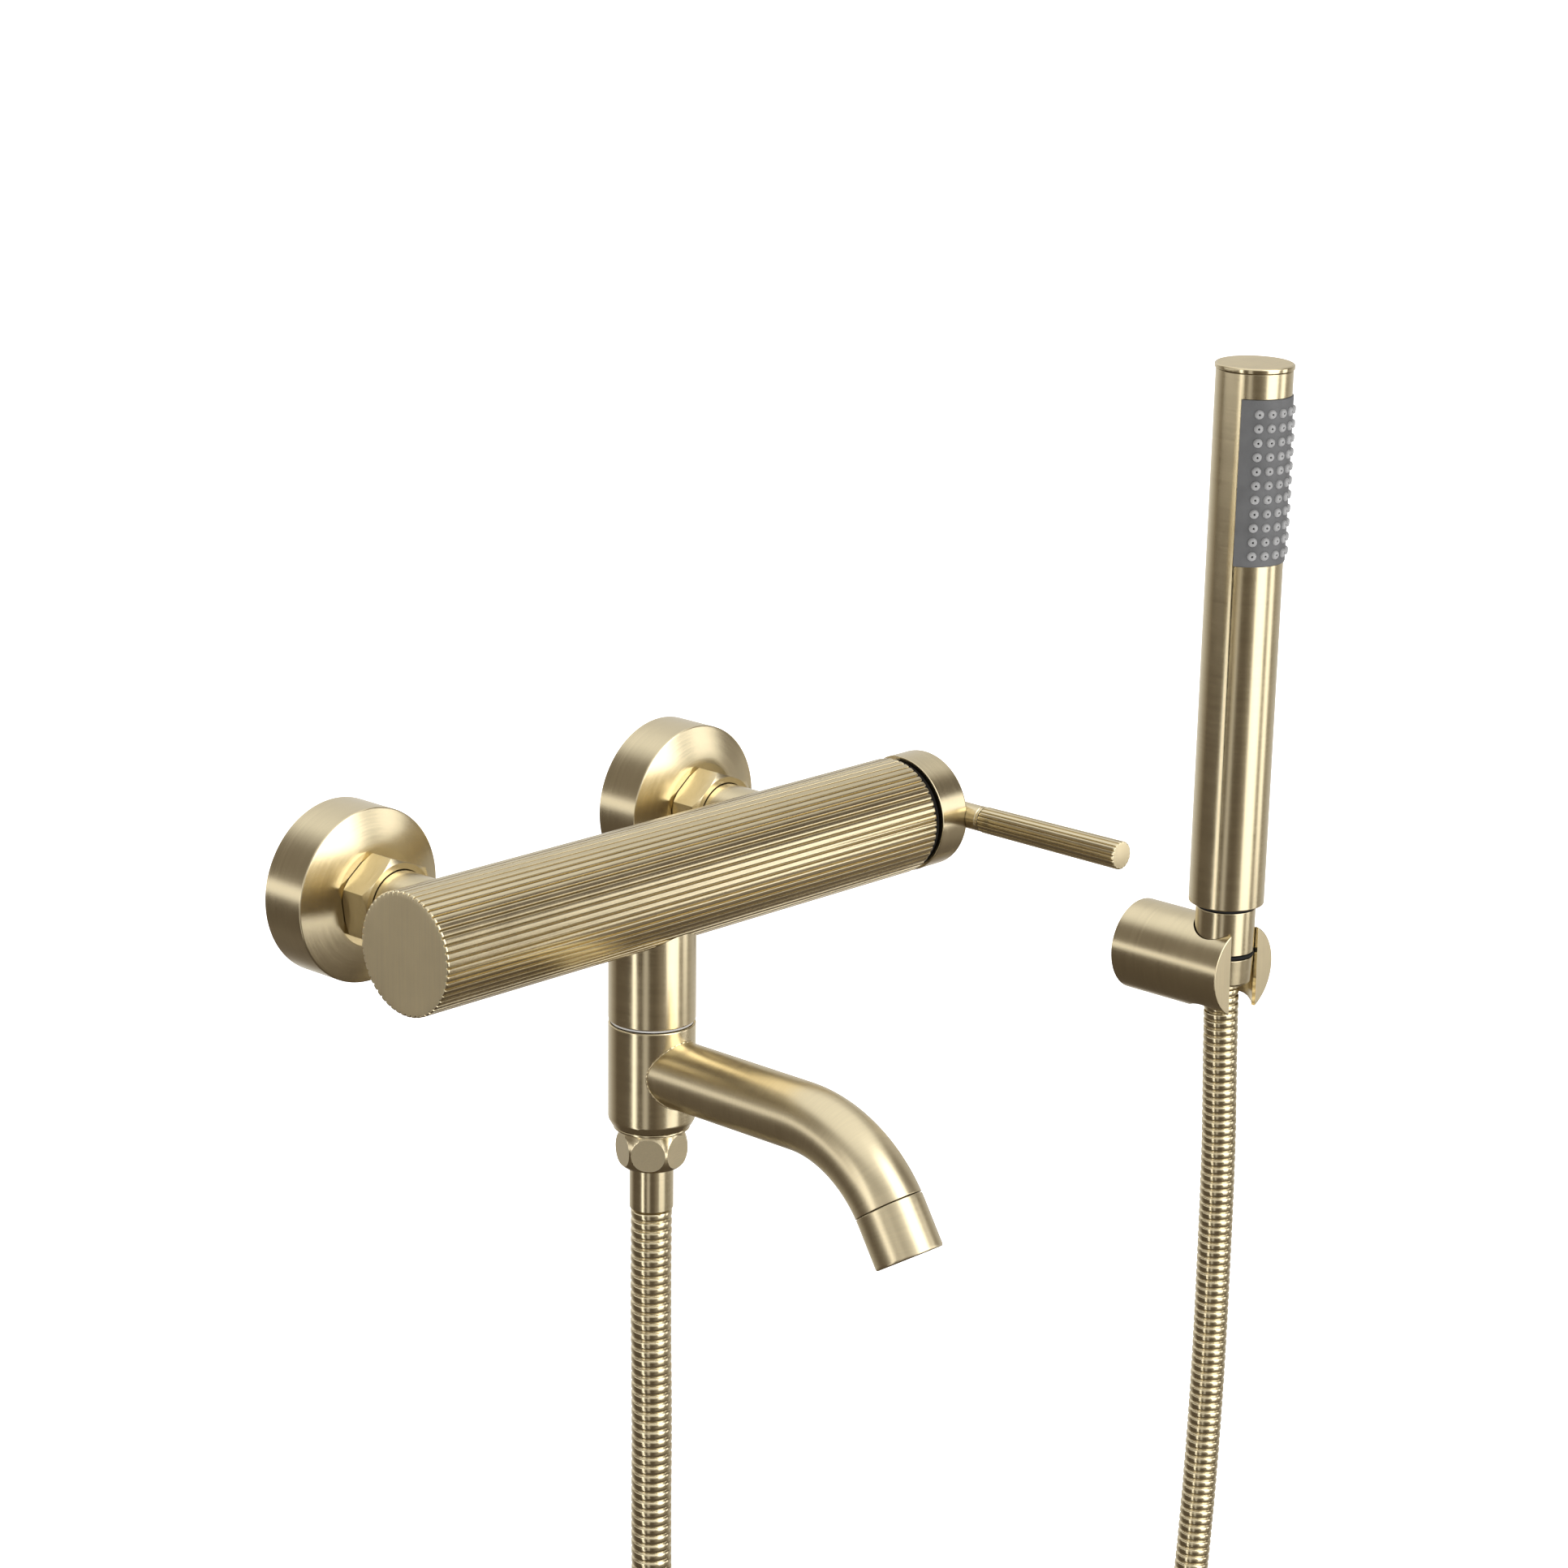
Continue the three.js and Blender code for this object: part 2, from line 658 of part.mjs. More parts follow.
function holderBody() {
  const bore = rod(HOLDER_BORE, -30, 30, 28).rotateX(Math.PI / 2 + HANDSET_TILT);
  return cut(
    rod(HOLDER_RADIUS, HOLDER_FRONT, 0, 40),
    bore.translate(0, 0, HOLDER_BORE_Y),
    box([-HOLDER_SLOT, HOLDER_SLOT], [-30, 30], [HOLDER_FRONT - 8, HOLDER_BORE_Y]),
    rod(14, -8.7, THROUGH, 20),
    acrossY(rod(1.8, 10, 25, 8), 0, HOLDER_GRUB_Y),
  );
}

function holderBracket() {
  return cut(
    rod(13.7, -8.4, 0, 20),
    rod(2.4, -10, THROUGH, 10),
    rod(4.8, -10, -5, 14),
    acrossY(rod(1.8, 11.5, 15, 8), 0, HOLDER_GRUB_Y),
  );
}

function holderScrew() {
  return turned([
    [0, -8.2], [4.4, -8.2], [4.4, -5.3], [2.1, -5.3], [2.1, SCREW_TIP - 3], [0, SCREW_TIP],
  ], 12);
}

function holderGrubScrew() {
  return acrossY(rod(1.5, 11.9, 17.8, 8), 0, HOLDER_GRUB_Y);
}

// ---- hand shower, drawn upright with the holder's middle at z = 0 ----

function coneNut() {
  return turned([
    [7.8, -5.5], [10.6, -5.5], [11.45, -4.6], [11.45, 1], [11.9, 1.6], [11.9, 5.5],
    [10.3, 5.5], [10.3, 7.6], [11.9, 7.6], [11.9, 25.4], [9.3, 25.4], [9.3, 3], [7.8, 3],
  ], 22);
}

function handsetConnector() {
  return turned([
    [6, 6.8], [HOSE_HEAD_RADIUS, 6.8], [HOSE_HEAD_RADIUS, 30.1], [13.2, 30.1], [13.2, 33], [6, 33],
  ], 18);
}

function handsetTube() {
  const shell = turned([
    [9.4, HANDSET_BOTTOM], [HANDSET_RADIUS, HANDSET_BOTTOM], [HANDSET_RADIUS, HANDSET_TOP],
    [13.6, HANDSET_TOP], [13.6, 29.8], [9.4, 29.8],
  ], 32);
  const halfAngle = PANEL_HALF_ANGLE + PANEL_CLEARANCE;
  return cut(shell, sector(17, 12, halfAngle, PANEL_BOTTOM - FIT, PANEL_TOP + FIT));
}

function sprayDuct() {
  const shell = turned([
    [11.2, 33.3], [12.6, 33.3], [12.6, 236], [0, 236], [0, 234.6], [11.2, 234.6],
  ], 20);
  const window = box([-4, 4], [-14, -5], [PANEL_BOTTOM + THROUGH, PANEL_TOP - THROUGH]);
  return cut(shell, window.rotateZ(PANEL_TURN));
}

/* Silicone panel; its nozzles are rows of small domes on this face. */
function nozzlePanel() {
  return sector(PANEL_RADIUS, 12.9, PANEL_HALF_ANGLE, PANEL_BOTTOM, PANEL_TOP);
}

function handsetCap() {
  return turned([
    [0, 244], [14.9, 244], [15.45, 243.5], [15.45, HANDSET_TOP + FIT],
    [13.3, HANDSET_TOP + FIT], [13.3, 236.6], [0, 236.6],
  ], 32);
}

// ---- assembly ----

function group(parent, position, rotation = [0, 0, 0]) {
  const child = new THREE.Group();
  child.position.set(...position);
  child.rotation.set(...rotation);
  parent.add(child);
  return child;
}

function addPart(parent, name, finish, geometry) {
  const surface = welded(geometry).toNonIndexed();
  surface.computeVertexNormals();
  const mesh = new THREE.Mesh(surface, new THREE.MeshStandardMaterial(FINISHES[finish]));
  mesh.name = name;
  parent.add(mesh);
}

function addWallConnection(parent, side, x) {
  const inlet = group(parent, [x, 0, 0], [-Math.PI / 2, 0, 0]);
  addPart(inlet, `wall_flange_${side}`, "gold", wallFlange());
  addPart(inlet, `s_union_${side}`, "brass", wallUnion());
  addPart(inlet, `filter_washer_${side}`, "rubber", filterWasher());
  addPart(inlet, `union_nut_${side}`, "gold", unionNut());
  addPart(inlet, `inlet_tube_${side}`, "gold", inletTube());
}

function addCartridge(bar) {
  addPart(bar, "port_gasket", "rubber", portedDisc(12.3, 84.3, 85.6));
  addPart(bar, "cartridge_base", "white", portedDisc(12.3, 85.9, 89.6));
  addPart(bar, "fixed_disc", "ceramic", portedDisc(10.4, 89.9, 92.9));
  addPart(bar, "moving_disc", "ceramic", movingDisc());
  addPart(bar, "cartridge_housing", "white", cartridgeHousing());
  addPart(bar, "turret", "white", turret());
  addPart(bar, "stem", "steel", stem());
  addPart(bar, "pivot_pin", "steel", pivotPin());
  addPart(bar, "retaining_nut", "brass", retainingNut());
  addPart(bar, "shroud", "black", shroud());
}

function addCapAndLever(bar) {
  addPart(bar, "cap", "gold", cap());
  addPart(bar, "set_screw", "steel", setScrew());
  const lever = group(bar, [0, 0, LEVER_X], [-Math.PI / 2, 0, 0]);
  addPart(lever, "lever_neck", "gold", leverNeck());
  addPart(lever, "lever_grip", "gold", leverGrip());
}

function addSpout(stack) {
  addPart(stack, "outlet_stub", "gold", outletStub());
  addPart(stack, "diverter_core", "brass", diverterCore());
  addPart(stack, "core_oring_upper", "rubber", oRing(9.3, 0.55, -38));
  addPart(stack, "core_oring_lower", "rubber", oRing(9.3, 0.55, -52));
  addPart(stack, "slide_washer", "white", slideWasher());
  addPart(stack, "spout_body", "gold", spoutBody());
  addPart(stack, "spout_grub_screw", "steel", spoutGrubScrew());
  addPart(stack, "spout_tube", "gold", spoutTube());
  addPart(stack, "aerator_housing", "gold", aeratorHousing());
  const end = new SpoutLine(0, spoutEndTravel()).getPoint(1);
  const mouth = group(stack, end.toArray(), [Math.PI / 2 + SPOUT_BEND_ANGLE, 0, 0]);
  addPart(mouth, "aerator_washer", "rubber", aeratorWasher());
  addPart(mouth, "aerator_insert", "white", aeratorInsert());
}

function addHoseOutlet(stack) {
  addPart(stack, "outlet_nipple", "gold", outletNipple());
  addPart(stack, "check_valve_body", "white", checkValveBody());
  addPart(stack, "check_valve_poppet", "black", checkValvePoppet());
  addPart(stack, "check_valve_spring", "steel", checkValveSpring());
  addPart(stack, "hose_nut", "gold", hoseNut());
  addPart(stack, "hose_washer", "rubber", hoseWasher(-93.2, -91.9));
  addPart(stack, "hose_ferrule_mixer", "gold", hoseFerrule(-113.2, -94.6, -93.5));
}

function addHolder(parent) {
  const holder = group(parent, [HOLDER_X, 0, HOLDER_Z], [-Math.PI / 2, 0, 0]);
  addPart(holder, "holder_body", "gold", holderBody());
  addPart(holder, "holder_bracket", "brass", holderBracket());
  addPart(holder, "holder_screw", "steel", holderScrew());
  addPart(holder, "holder_grub_screw", "steel", holderGrubScrew());
}

function addHandset(parent) {
  const handset = group(parent, [HOLDER_X, HOLDER_BORE_Y, HOLDER_Z], [HANDSET_TILT, 0, 0]);
  addPart(handset, "hose_ferrule_handset", "gold", hoseFerrule(-8, 3.3, 4.8));
  addPart(handset, "handset_hose_washer", "rubber", hoseWasher(5.1, 6.5));
  addPart(handset, "cone_nut", "gold", coneNut());
  addPart(handset, "cone_oring", "rubber", oRing(11.4, 0.75, 6.55));
  addPart(handset, "handset_connector", "brass", handsetConnector());
  addPart(handset, "handset_oring", "rubber", ring(12.4, 9.4, 25.7, 27, 18));
  addPart(handset, "handset_tube", "gold", handsetTube());
  addPart(handset, "spray_duct", "white", sprayDuct());
  addPart(handset, "nozzle_panel", "grey_rubber", nozzlePanel());
  addPart(handset, "handset_cap", "gold", handsetCap());
}

const assembly = new THREE.Group();
addWallConnection(assembly, "left", -INLET_X);
addWallConnection(assembly, "right", INLET_X);
const bodyBar = group(assembly, [0, BODY_Y, 0], [0, Math.PI / 2, 0]);
addPart(bodyBar, "body", "gold", mixerBody());
addCartridge(bodyBar);
addCapAndLever(bodyBar);
const outletStack = group(assembly, [0, BODY_Y, 0]);
addSpout(outletStack);
addHoseOutlet(outletStack);
addPart(assembly, "hose", "gold", hose());
addHolder(assembly);
addHandset(assembly);

export default assembly;
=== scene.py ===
import math

import bmesh
import bpy
import numpy as np
from mathutils import Matrix, Vector


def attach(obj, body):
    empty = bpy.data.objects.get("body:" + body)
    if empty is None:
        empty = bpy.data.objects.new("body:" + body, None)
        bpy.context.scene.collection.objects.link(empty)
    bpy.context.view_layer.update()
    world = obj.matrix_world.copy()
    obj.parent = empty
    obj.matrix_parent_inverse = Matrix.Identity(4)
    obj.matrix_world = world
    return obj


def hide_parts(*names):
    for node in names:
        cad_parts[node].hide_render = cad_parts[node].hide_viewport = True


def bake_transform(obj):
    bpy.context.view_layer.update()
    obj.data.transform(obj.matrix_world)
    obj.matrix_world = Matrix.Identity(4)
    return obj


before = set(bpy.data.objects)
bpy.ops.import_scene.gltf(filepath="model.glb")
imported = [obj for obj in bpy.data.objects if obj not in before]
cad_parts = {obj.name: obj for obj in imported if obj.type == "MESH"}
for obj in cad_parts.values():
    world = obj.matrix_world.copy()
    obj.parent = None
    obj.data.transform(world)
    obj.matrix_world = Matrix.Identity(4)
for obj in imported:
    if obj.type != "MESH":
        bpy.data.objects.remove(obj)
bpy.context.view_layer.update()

# Wall mounted bath mixer with a swivel spout and a hand shower. Lengths are in millimetres until a
# mesh is made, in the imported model's frame: +X along the body, +Y into the wall, +Z up.
MM = 0.001

# Camera
CAMERA_PLACE = (-0.93475, -1.01781, 0.40477)
CAMERA_RIGHT = (0.69026, -0.72347, 0.01171)
CAMERA_UP = (0.18636, 0.19339, 0.96326)
CAMERA_FORWARD = (0.69916, 0.66272, -0.26831)
CAMERA_LENS = 96.8
SENSOR = 36

# Mixer
INLET_X = 75
BODY_Y = -72.7
BODY_LEFT = -108.5
BODY_RIGHT = 118.1
BODY_RADIUS = 20.4
COPE_RADIUS = 20.45
STACK_RADIUS = 14.65
LEVER_X = 136.9
SET_SCREW_X = 127.3
BODY_RIBS = 52
BODY_RIB_DEPTH = 1.0
GRIP_RIBS = 18
GRIP_RIB_DEPTH = 0.55
CAP_DOME_CENTRE = 111.1
CAP_DOME_RADIUS = 30.4
PIVOT_X = 108
FLOW_ANGLE = math.radians(16)
SHROUD_REACH = 12.6

# Spout
SPOUT_Z = -63.2
SPOUT_RADIUS = 11.5
SPOUT_START = -8
SPOUT_BEND_START = -68.6
SPOUT_BEND_RADIUS = 46.9
SPOUT_BEND = math.radians(58.5)
SPOUT_SEAM = math.radians(55.2)
AERATOR_LENGTH = 15.4
GRUB_SCREW_Z = -56.1
WELD_RADIUS = 0.28
WELD_LIFT = 0.04

# Holder, hand shower and hose
HOLDER_X = 350.24
HOLDER_Z = -114.92
HOLDER_BORE_Y = -42.4
HOLDER_RADIUS = 18.57
HOLDER_FRONT = -52.85
HOLDER_GRUB_DEPTH = -4.2
TILT = math.radians(0.84)
PANEL_TURN = math.radians(-5)
PANEL_RADIUS = 15.5
NOZZLE_ROWS = 11
NOZZLE_COLUMNS = 5
NOZZLE_START = 171.1
NOZZLE_PITCH = 5.54
NOZZLE_TURN = math.radians(19)
HOSE_NUT_FLAT = 10.75
HOSE_NUT_TURN = math.radians(-141.0327)
HOSE_PITCH = 3.3
HOSE_ROUTE = [
    (0, -72.7, -113.5), (0, -72.7, -150.7), (0.5, -72.7, -191.4), (2, -71.3, -242.3),
    (5, -69.8, -298.3), (9, -68.4, -354.3), (15, -66.9, -410.3), (23, -65.5, -464.3),
    (34, -64, -515.2), (49, -62.6, -563.1), (70, -61.1, -605.9), (98, -59.7, -639.5),
    (134, -58.2, -661.9), (175, -56.8, -670), (216, -55.3, -661.9), (252, -53.9, -639.5),
    (280, -52.4, -605.9), (301, -51, -563.1), (316, -49.5, -515.2), (327, -48.1, -464.3),
    (336, -46.6, -410.3), (344, -45.2, -354.3), (349.5, -43.7, -298.3), (352.6, -42.3, -242.3),
    (352.6, -42.3, -191.4), (351.2, -42.3, -155.8), (350.24, -42.28, -123.2),
]

# The floor's height and half width, in metres
FLOOR_Z = -0.7
FLOOR_HALF = 12
EDGE = 0.25
ROUND_STEPS = 4
SWEEP_STEP = 2.0


# ---- frames: local millimetres to model millimetres ----

def axes(origin, x_axis, y_axis, z_axis):
    place = Matrix((x_axis, y_axis, z_axis)).transposed().to_4x4()
    place.translation = origin
    return place


def toward_wall(x, z):
    """+Z into the wall, +Y down."""
    return axes((x, 0, z), (1, 0, 0), (0, 0, -1), (0, 1, 0))


def spout_point(travel):
    """Centre and direction of the spout's line, at a distance along it."""
    level = SPOUT_START - SPOUT_BEND_START
    past = travel - level
    turn = min(max(past / SPOUT_BEND_RADIUS, 0), SPOUT_BEND)
    beyond = max(past - SPOUT_BEND_RADIUS * SPOUT_BEND, 0)
    y = SPOUT_BEND_START - SPOUT_BEND_RADIUS * math.sin(turn) - min(past, 0)
    z = SPOUT_Z - SPOUT_BEND_RADIUS * (1 - math.cos(turn))
    ahead = Vector((0, -math.cos(turn), -math.sin(turn)))
    return Vector((0, y, z)) + float(beyond) * ahead, ahead


SEAM_TRAVEL = SPOUT_START - SPOUT_BEND_START + SPOUT_BEND_RADIUS * SPOUT_SEAM
END_TRAVEL = SPOUT_START - SPOUT_BEND_START + SPOUT_BEND_RADIUS * SPOUT_BEND

WORLD = Matrix.Identity(4)
BAR = axes((0, BODY_Y, 0), (0, 0, -1), (0, 1, 0), (1, 0, 0))
LEVER = axes((LEVER_X, BODY_Y, 0), (0, 0, -1), (-1, 0, 0), (0, 1, 0))
STACK = Matrix.Translation((0, BODY_Y, 0))
INLETS = {"left": toward_wall(-INLET_X, 0), "right": toward_wall(INLET_X, 0)}
HOLDER = toward_wall(HOLDER_X, HOLDER_Z)
HANDSET = Matrix.Translation((HOLDER_X, HOLDER_BORE_Y, HOLDER_Z)) @ Matrix.Rotation(TILT, 4, "X")
MOUTH = (
    STACK
    @ Matrix.Translation(spout_point(END_TRAVEL)[0])
    @ Matrix.Rotation(math.pi / 2 + SPOUT_BEND, 4, "X")
)


# ---- meshes ----

def add_mesh(name, points, faces):
    """An object whose mesh holds the points, given in model millimetres."""
    mesh = bpy.data.meshes.new(name)
    mesh.from_pydata([tuple(point) for point in np.asarray(points) * MM], [], faces)
    made = bmesh.new()
    made.from_mesh(mesh)
    bmesh.ops.remove_doubles(made, verts=made.verts, dist=1e-7)
    bmesh.ops.recalc_face_normals(made, faces=made.faces)
    made.to_mesh(mesh)
    made.free()
    thing = bpy.data.objects.new(name, mesh)
    bpy.context.scene.collection.objects.link(thing)
    return thing


def moved(place, points):
    turned = np.asarray(place.to_3x3()) @ np.asarray(points, float).T
    return turned.T + np.asarray(place.translation)


def rounded(profile, edge):
    """[radius, height] or [radius, height, rounding] corners, with each corner rounded."""
    corners = [tuple(corner) + (edge,) * (3 - len(corner)) for corner in profile]
    closed = corners[0][0] > 0
    points = []
    for index, (radius, height, size) in enumerate(corners):
        here = np.array((radius, height), float)
        last = index == len(corners) - 1
        if size <= 0 or (not closed and (index == 0 or last)):
            points.append(here)
            continue
        before = np.array(corners[index - 1][:2], float) - here
        after = np.array(corners[(index + 1) % len(corners)][:2], float) - here
        start = before * min(size / np.linalg.norm(before), 0.45)
        end = after * min(size / np.linalg.norm(after), 0.45)
        for step in range(ROUND_STEPS + 1):
            share = step / ROUND_STEPS
            points.append(here + start * (1 - share) ** 2 + end * share ** 2)
    return np.array(points), closed


def ring_faces(rings, around, closed):
    faces = []
    for ring in range(rings if closed else rings - 1):
        ahead = (ring + 1) % rings
        for side in range(around):
            beside = (side + 1) % around
            faces.append((
                ring * around + side, ring * around + beside,
                ahead * around + beside, ahead * around + side,
            ))
    return faces


def turned(name, profile, place, segments=96, edge=EDGE):
    """The profile turned round the local Z axis. Off the axis it makes a ring."""
    outline, closed = rounded(profile, edge)
    angles = np.arange(segments) / segments * 2 * math.pi
    points = np.stack([
        np.outer(outline[:, 0], np.cos(angles)).ravel(),
        np.outer(outline[:, 0], np.sin(angles)).ravel(),
        np.repeat(outline[:, 1], segments),
    ], axis=1)
    return add_mesh(name, moved(place, points), ring_faces(len(outline), segments, closed))


def rod(radius, start, end, place, segments=64):
    profile = [(0, start), (radius, start), (radius, end), (0, end)]
    return turned("tool", profile, place, segments, 0)


def block(x, y, z, place):
    points = [(a, b, c) for a in x for b in y for c in z]
    faces = [(0, 1, 3, 2), (4, 6, 7, 5), (0, 4, 5, 1), (2, 3, 7, 6), (0, 2, 6, 4), (1, 5, 7, 3)]
    return add_mesh("tool", moved(place, points), faces)


def across(place, axis, offset=(0, 0, 0)):
    """A frame whose +Z is the local X, Y or Z of another."""
    turn = {"X": Matrix.Rotation(math.pi / 2, 4, "Y"), "Y": Matrix.Rotation(-math.pi / 2, 4, "X")}
    return place @ Matrix.Translation(offset) @ turn[axis]


def swept(name, profile, place, segments):
    """The profile of radius and travel, carried along the spout's line."""
    outline = rounded(profile, EDGE)[0]
    stations = []
    for index, here in enumerate(outline):
        after = outline[(index + 1) % len(outline)]
        pieces = max(1, int(abs(after[1] - here[1]) / SWEEP_STEP))
        stations += [here + (after - here) * part / pieces for part in range(pieces)]
    angles = np.arange(segments) / segments * 2 * math.pi
    points = []
    for radius, travel in stations:
        centre, ahead = spout_point(travel)
        side = np.array((1.0, 0, 0))
        up = np.cross(side, np.array(ahead))
        points.append(
            np.array(centre)
            + radius * (np.outer(np.cos(angles), side) + np.outer(np.sin(angles), up))
        )
    faces = ring_faces(len(stations), segments, True)
    return add_mesh(name, moved(place, np.concatenate(points)), faces)


def bake(thing):
    """Applies the modifiers to the mesh."""
    graph = bpy.context.evaluated_depsgraph_get()
    mesh = bpy.data.meshes.new_from_object(thing.evaluated_get(graph))
    thing.modifiers.clear()
    thing.data = mesh
    if not any(mesh.materials):
        mesh.materials.clear()
    return thing


def carve(thing, *tools, operation="DIFFERENCE"):
    for tool in tools:
        modifier = thing.modifiers.new("carve", "BOOLEAN")
        modifier.operation = operation
        modifier.solver = "MANIFOLD"
        modifier.object = tool
    bake(thing)
    for tool in tools:
        bpy.data.objects.remove(tool)
    return thing


def soften(thing, width=EDGE, angle=28):
    """Rounds the edges that a cut left sharp."""
    made = bmesh.new()
    made.from_mesh(thing.data)
    bmesh.ops.remove_doubles(made, verts=made.verts, dist=2e-6)
    made.to_mesh(thing.data)
    made.free()
    modifier = thing.modifiers.new("soften", "BEVEL")
    modifier.width = width * MM
    modifier.segments = 2
    modifier.limit_method = "ANGLE"
    modifier.angle_limit = math.radians(angle)
    modifier.harden_normals = False
    return bake(thing)


def shade(thing, angle=32):
    for face in thing.data.polygons:
        face.use_smooth = True
    thing.data.set_sharp_from_angle(angle=math.radians(angle))
    modifier = thing.modifiers.new("normals", "WEIGHTED_NORMAL")
    modifier.keep_sharp = True
    return thing


# ---- materials ----

# Most noise values lie between these.
NOISE_LOW = 0.3
NOISE_HIGH = 0.7


class Tree:
    """Short calls that build a node tree."""

    def __init__(self, tree):
        self.tree = tree

    def add(self, kind, *values, **settings):
        """A node with its inputs set or linked in order; a None leaves an input as it is."""
        node = self.tree.nodes.new("ShaderNode" + kind)
        for key, value in settings.items():
            setattr(node, key, value)
        for socket, value in zip(node.inputs, values):
            self.give(socket, value)
        return node

    def give(self, socket, value):
        if value is None:
            return
        if isinstance(value, bpy.types.Node):
            value = value.outputs[0]
        if isinstance(value, bpy.types.NodeSocket):
            self.tree.links.new(value, socket)
        else:
            socket.default_value = value

    def math(self, operation, *values):
        return self.add("Math", *values, operation=operation)

    def blend(self, factor, first, second):
        """One colour turning into another."""
        node = self.add("Mix", data_type="RGBA")
        self.give(node.inputs[0], factor)
        self.give(node.inputs[6], first)
        self.give(node.inputs[7], second)
        return node.outputs[2]


class Nodes(Tree):
    """A material's node tree, made round its Principled shader."""

    def __init__(self, name):
        self.material = bpy.data.materials.new(name)
        self.material.use_nodes = True
        super().__init__(self.material.node_tree)
        self.shader = self.tree.nodes["Principled BSDF"]

    def noise(self, vector, scale, detail=2.0, rough=0.5):
        node = self.add("TexNoise")
        self.give(node.inputs["Vector"], vector)
        self.give(node.inputs["Scale"], scale)
        self.give(node.inputs["Detail"], detail)
        self.give(node.inputs["Roughness"], rough)
        return node.outputs[0]

    def spread(self, value, low, high):
        """A noise value laid over low to high."""
        return self.add("MapRange", value, NOISE_LOW, NOISE_HIGH, low, high).outputs[0]

    def colour(self, factor, dark, light):
        ramp = self.add("ValToRGB", factor)
        ramp.color_ramp.elements[0].position = NOISE_LOW
        ramp.color_ramp.elements[0].color = (*dark, 1)
        ramp.color_ramp.elements[1].position = NOISE_HIGH
        ramp.color_ramp.elements[1].color = (*light, 1)
        return ramp.outputs[0]

    def local(self, place):
        """The shading point in a part's own frame, in millimetres."""
        here = self.add("TexCoord").outputs["Object"]
        mapping = self.add("Mapping", here, vector_type="TEXTURE")
        mapping.inputs["Location"].default_value = place.translation * MM
        mapping.inputs["Rotation"].default_value = place.to_euler()
        mapping.inputs["Scale"].default_value = (MM, MM, MM)
        return mapping.outputs[0]

    def bump(self, height, strength, depth):
        node = self.add("Bump")
        self.give(node.inputs["Strength"], strength)
        self.give(node.inputs["Distance"], depth * MM)
        self.give(node.inputs["Height"], height)
        self.give(self.shader.inputs["Normal"], node)

    def set(self, **values):
        for key, value in values.items():
            self.give(self.shader.inputs[key.replace("_", " ")], value)


def shaded(colour, amount):
    return tuple(min(channel * amount, 1) for channel in colour)


def polar(nodes, place):
    """The shading point in a part's own frame, with its distance from that frame's Z axis."""
    x, y, z = nodes.add("SeparateXYZ", nodes.local(place)).outputs
    flat = nodes.add("CombineXYZ", x, y, 0.0)
    return x, y, z, nodes.add("VectorMath", flat, operation="LENGTH").outputs["Value"]


def turned_grain(nodes, place, fine, slow):
    """Brush lines that run round the part's axis."""
    x, y, z, radius = polar(nodes, place)
    drift = nodes.math("MULTIPLY_ADD", x, slow, nodes.math("MULTIPLY", y, slow * 0.7))
    return nodes.add(
        "CombineXYZ", nodes.math("MULTIPLY", z, fine), nodes.math("MULTIPLY", radius, fine), drift
    )


def straight_grain(nodes, place, fine, slow, along):
    """Brush lines that run along one local axis."""
    scales = [slow if axis == along else fine for axis in "XYZ"]
    return nodes.add("VectorMath", nodes.local(place), scales, operation="MULTIPLY")


def spout_grain(nodes, place, fine, slow):
    """Brush lines that run round the spout, bend included."""
    x, y, z = nodes.add("SeparateXYZ", nodes.local(place)).outputs
    ahead = nodes.math("MULTIPLY_ADD", y, -1.0, SPOUT_BEND_START)
    above = nodes.math("ADD", z, SPOUT_BEND_RADIUS - SPOUT_Z)
    turn = nodes.math("MAXIMUM", nodes.math("ARCTAN2", ahead, above), 0.0)
    level = nodes.math("MINIMUM", ahead, 0.0)
    travel = nodes.math("MULTIPLY_ADD", turn, SPOUT_BEND_RADIUS, level)
    drift = nodes.math("MULTIPLY_ADD", x, slow, nodes.math("MULTIPLY", z, slow * 0.7))
    return nodes.add("CombineXYZ", nodes.math("MULTIPLY", travel, fine), drift, drift)


GOLD = (0.77, 0.67, 0.45)
BRASS = (0.72, 0.58, 0.30)
STEEL = (0.56, 0.56, 0.57)
TONE_SWING = 0.06
STREAK_GLOSS_SWING = 0.015
CLOUD_GLOSS_SWING = 0.012
# How dark the painted shade at the bottom of rib grooves gets.
GROOVE_SHADE = 0.6
MATERIALS = {}


def material(name):
    return MATERIALS[name]


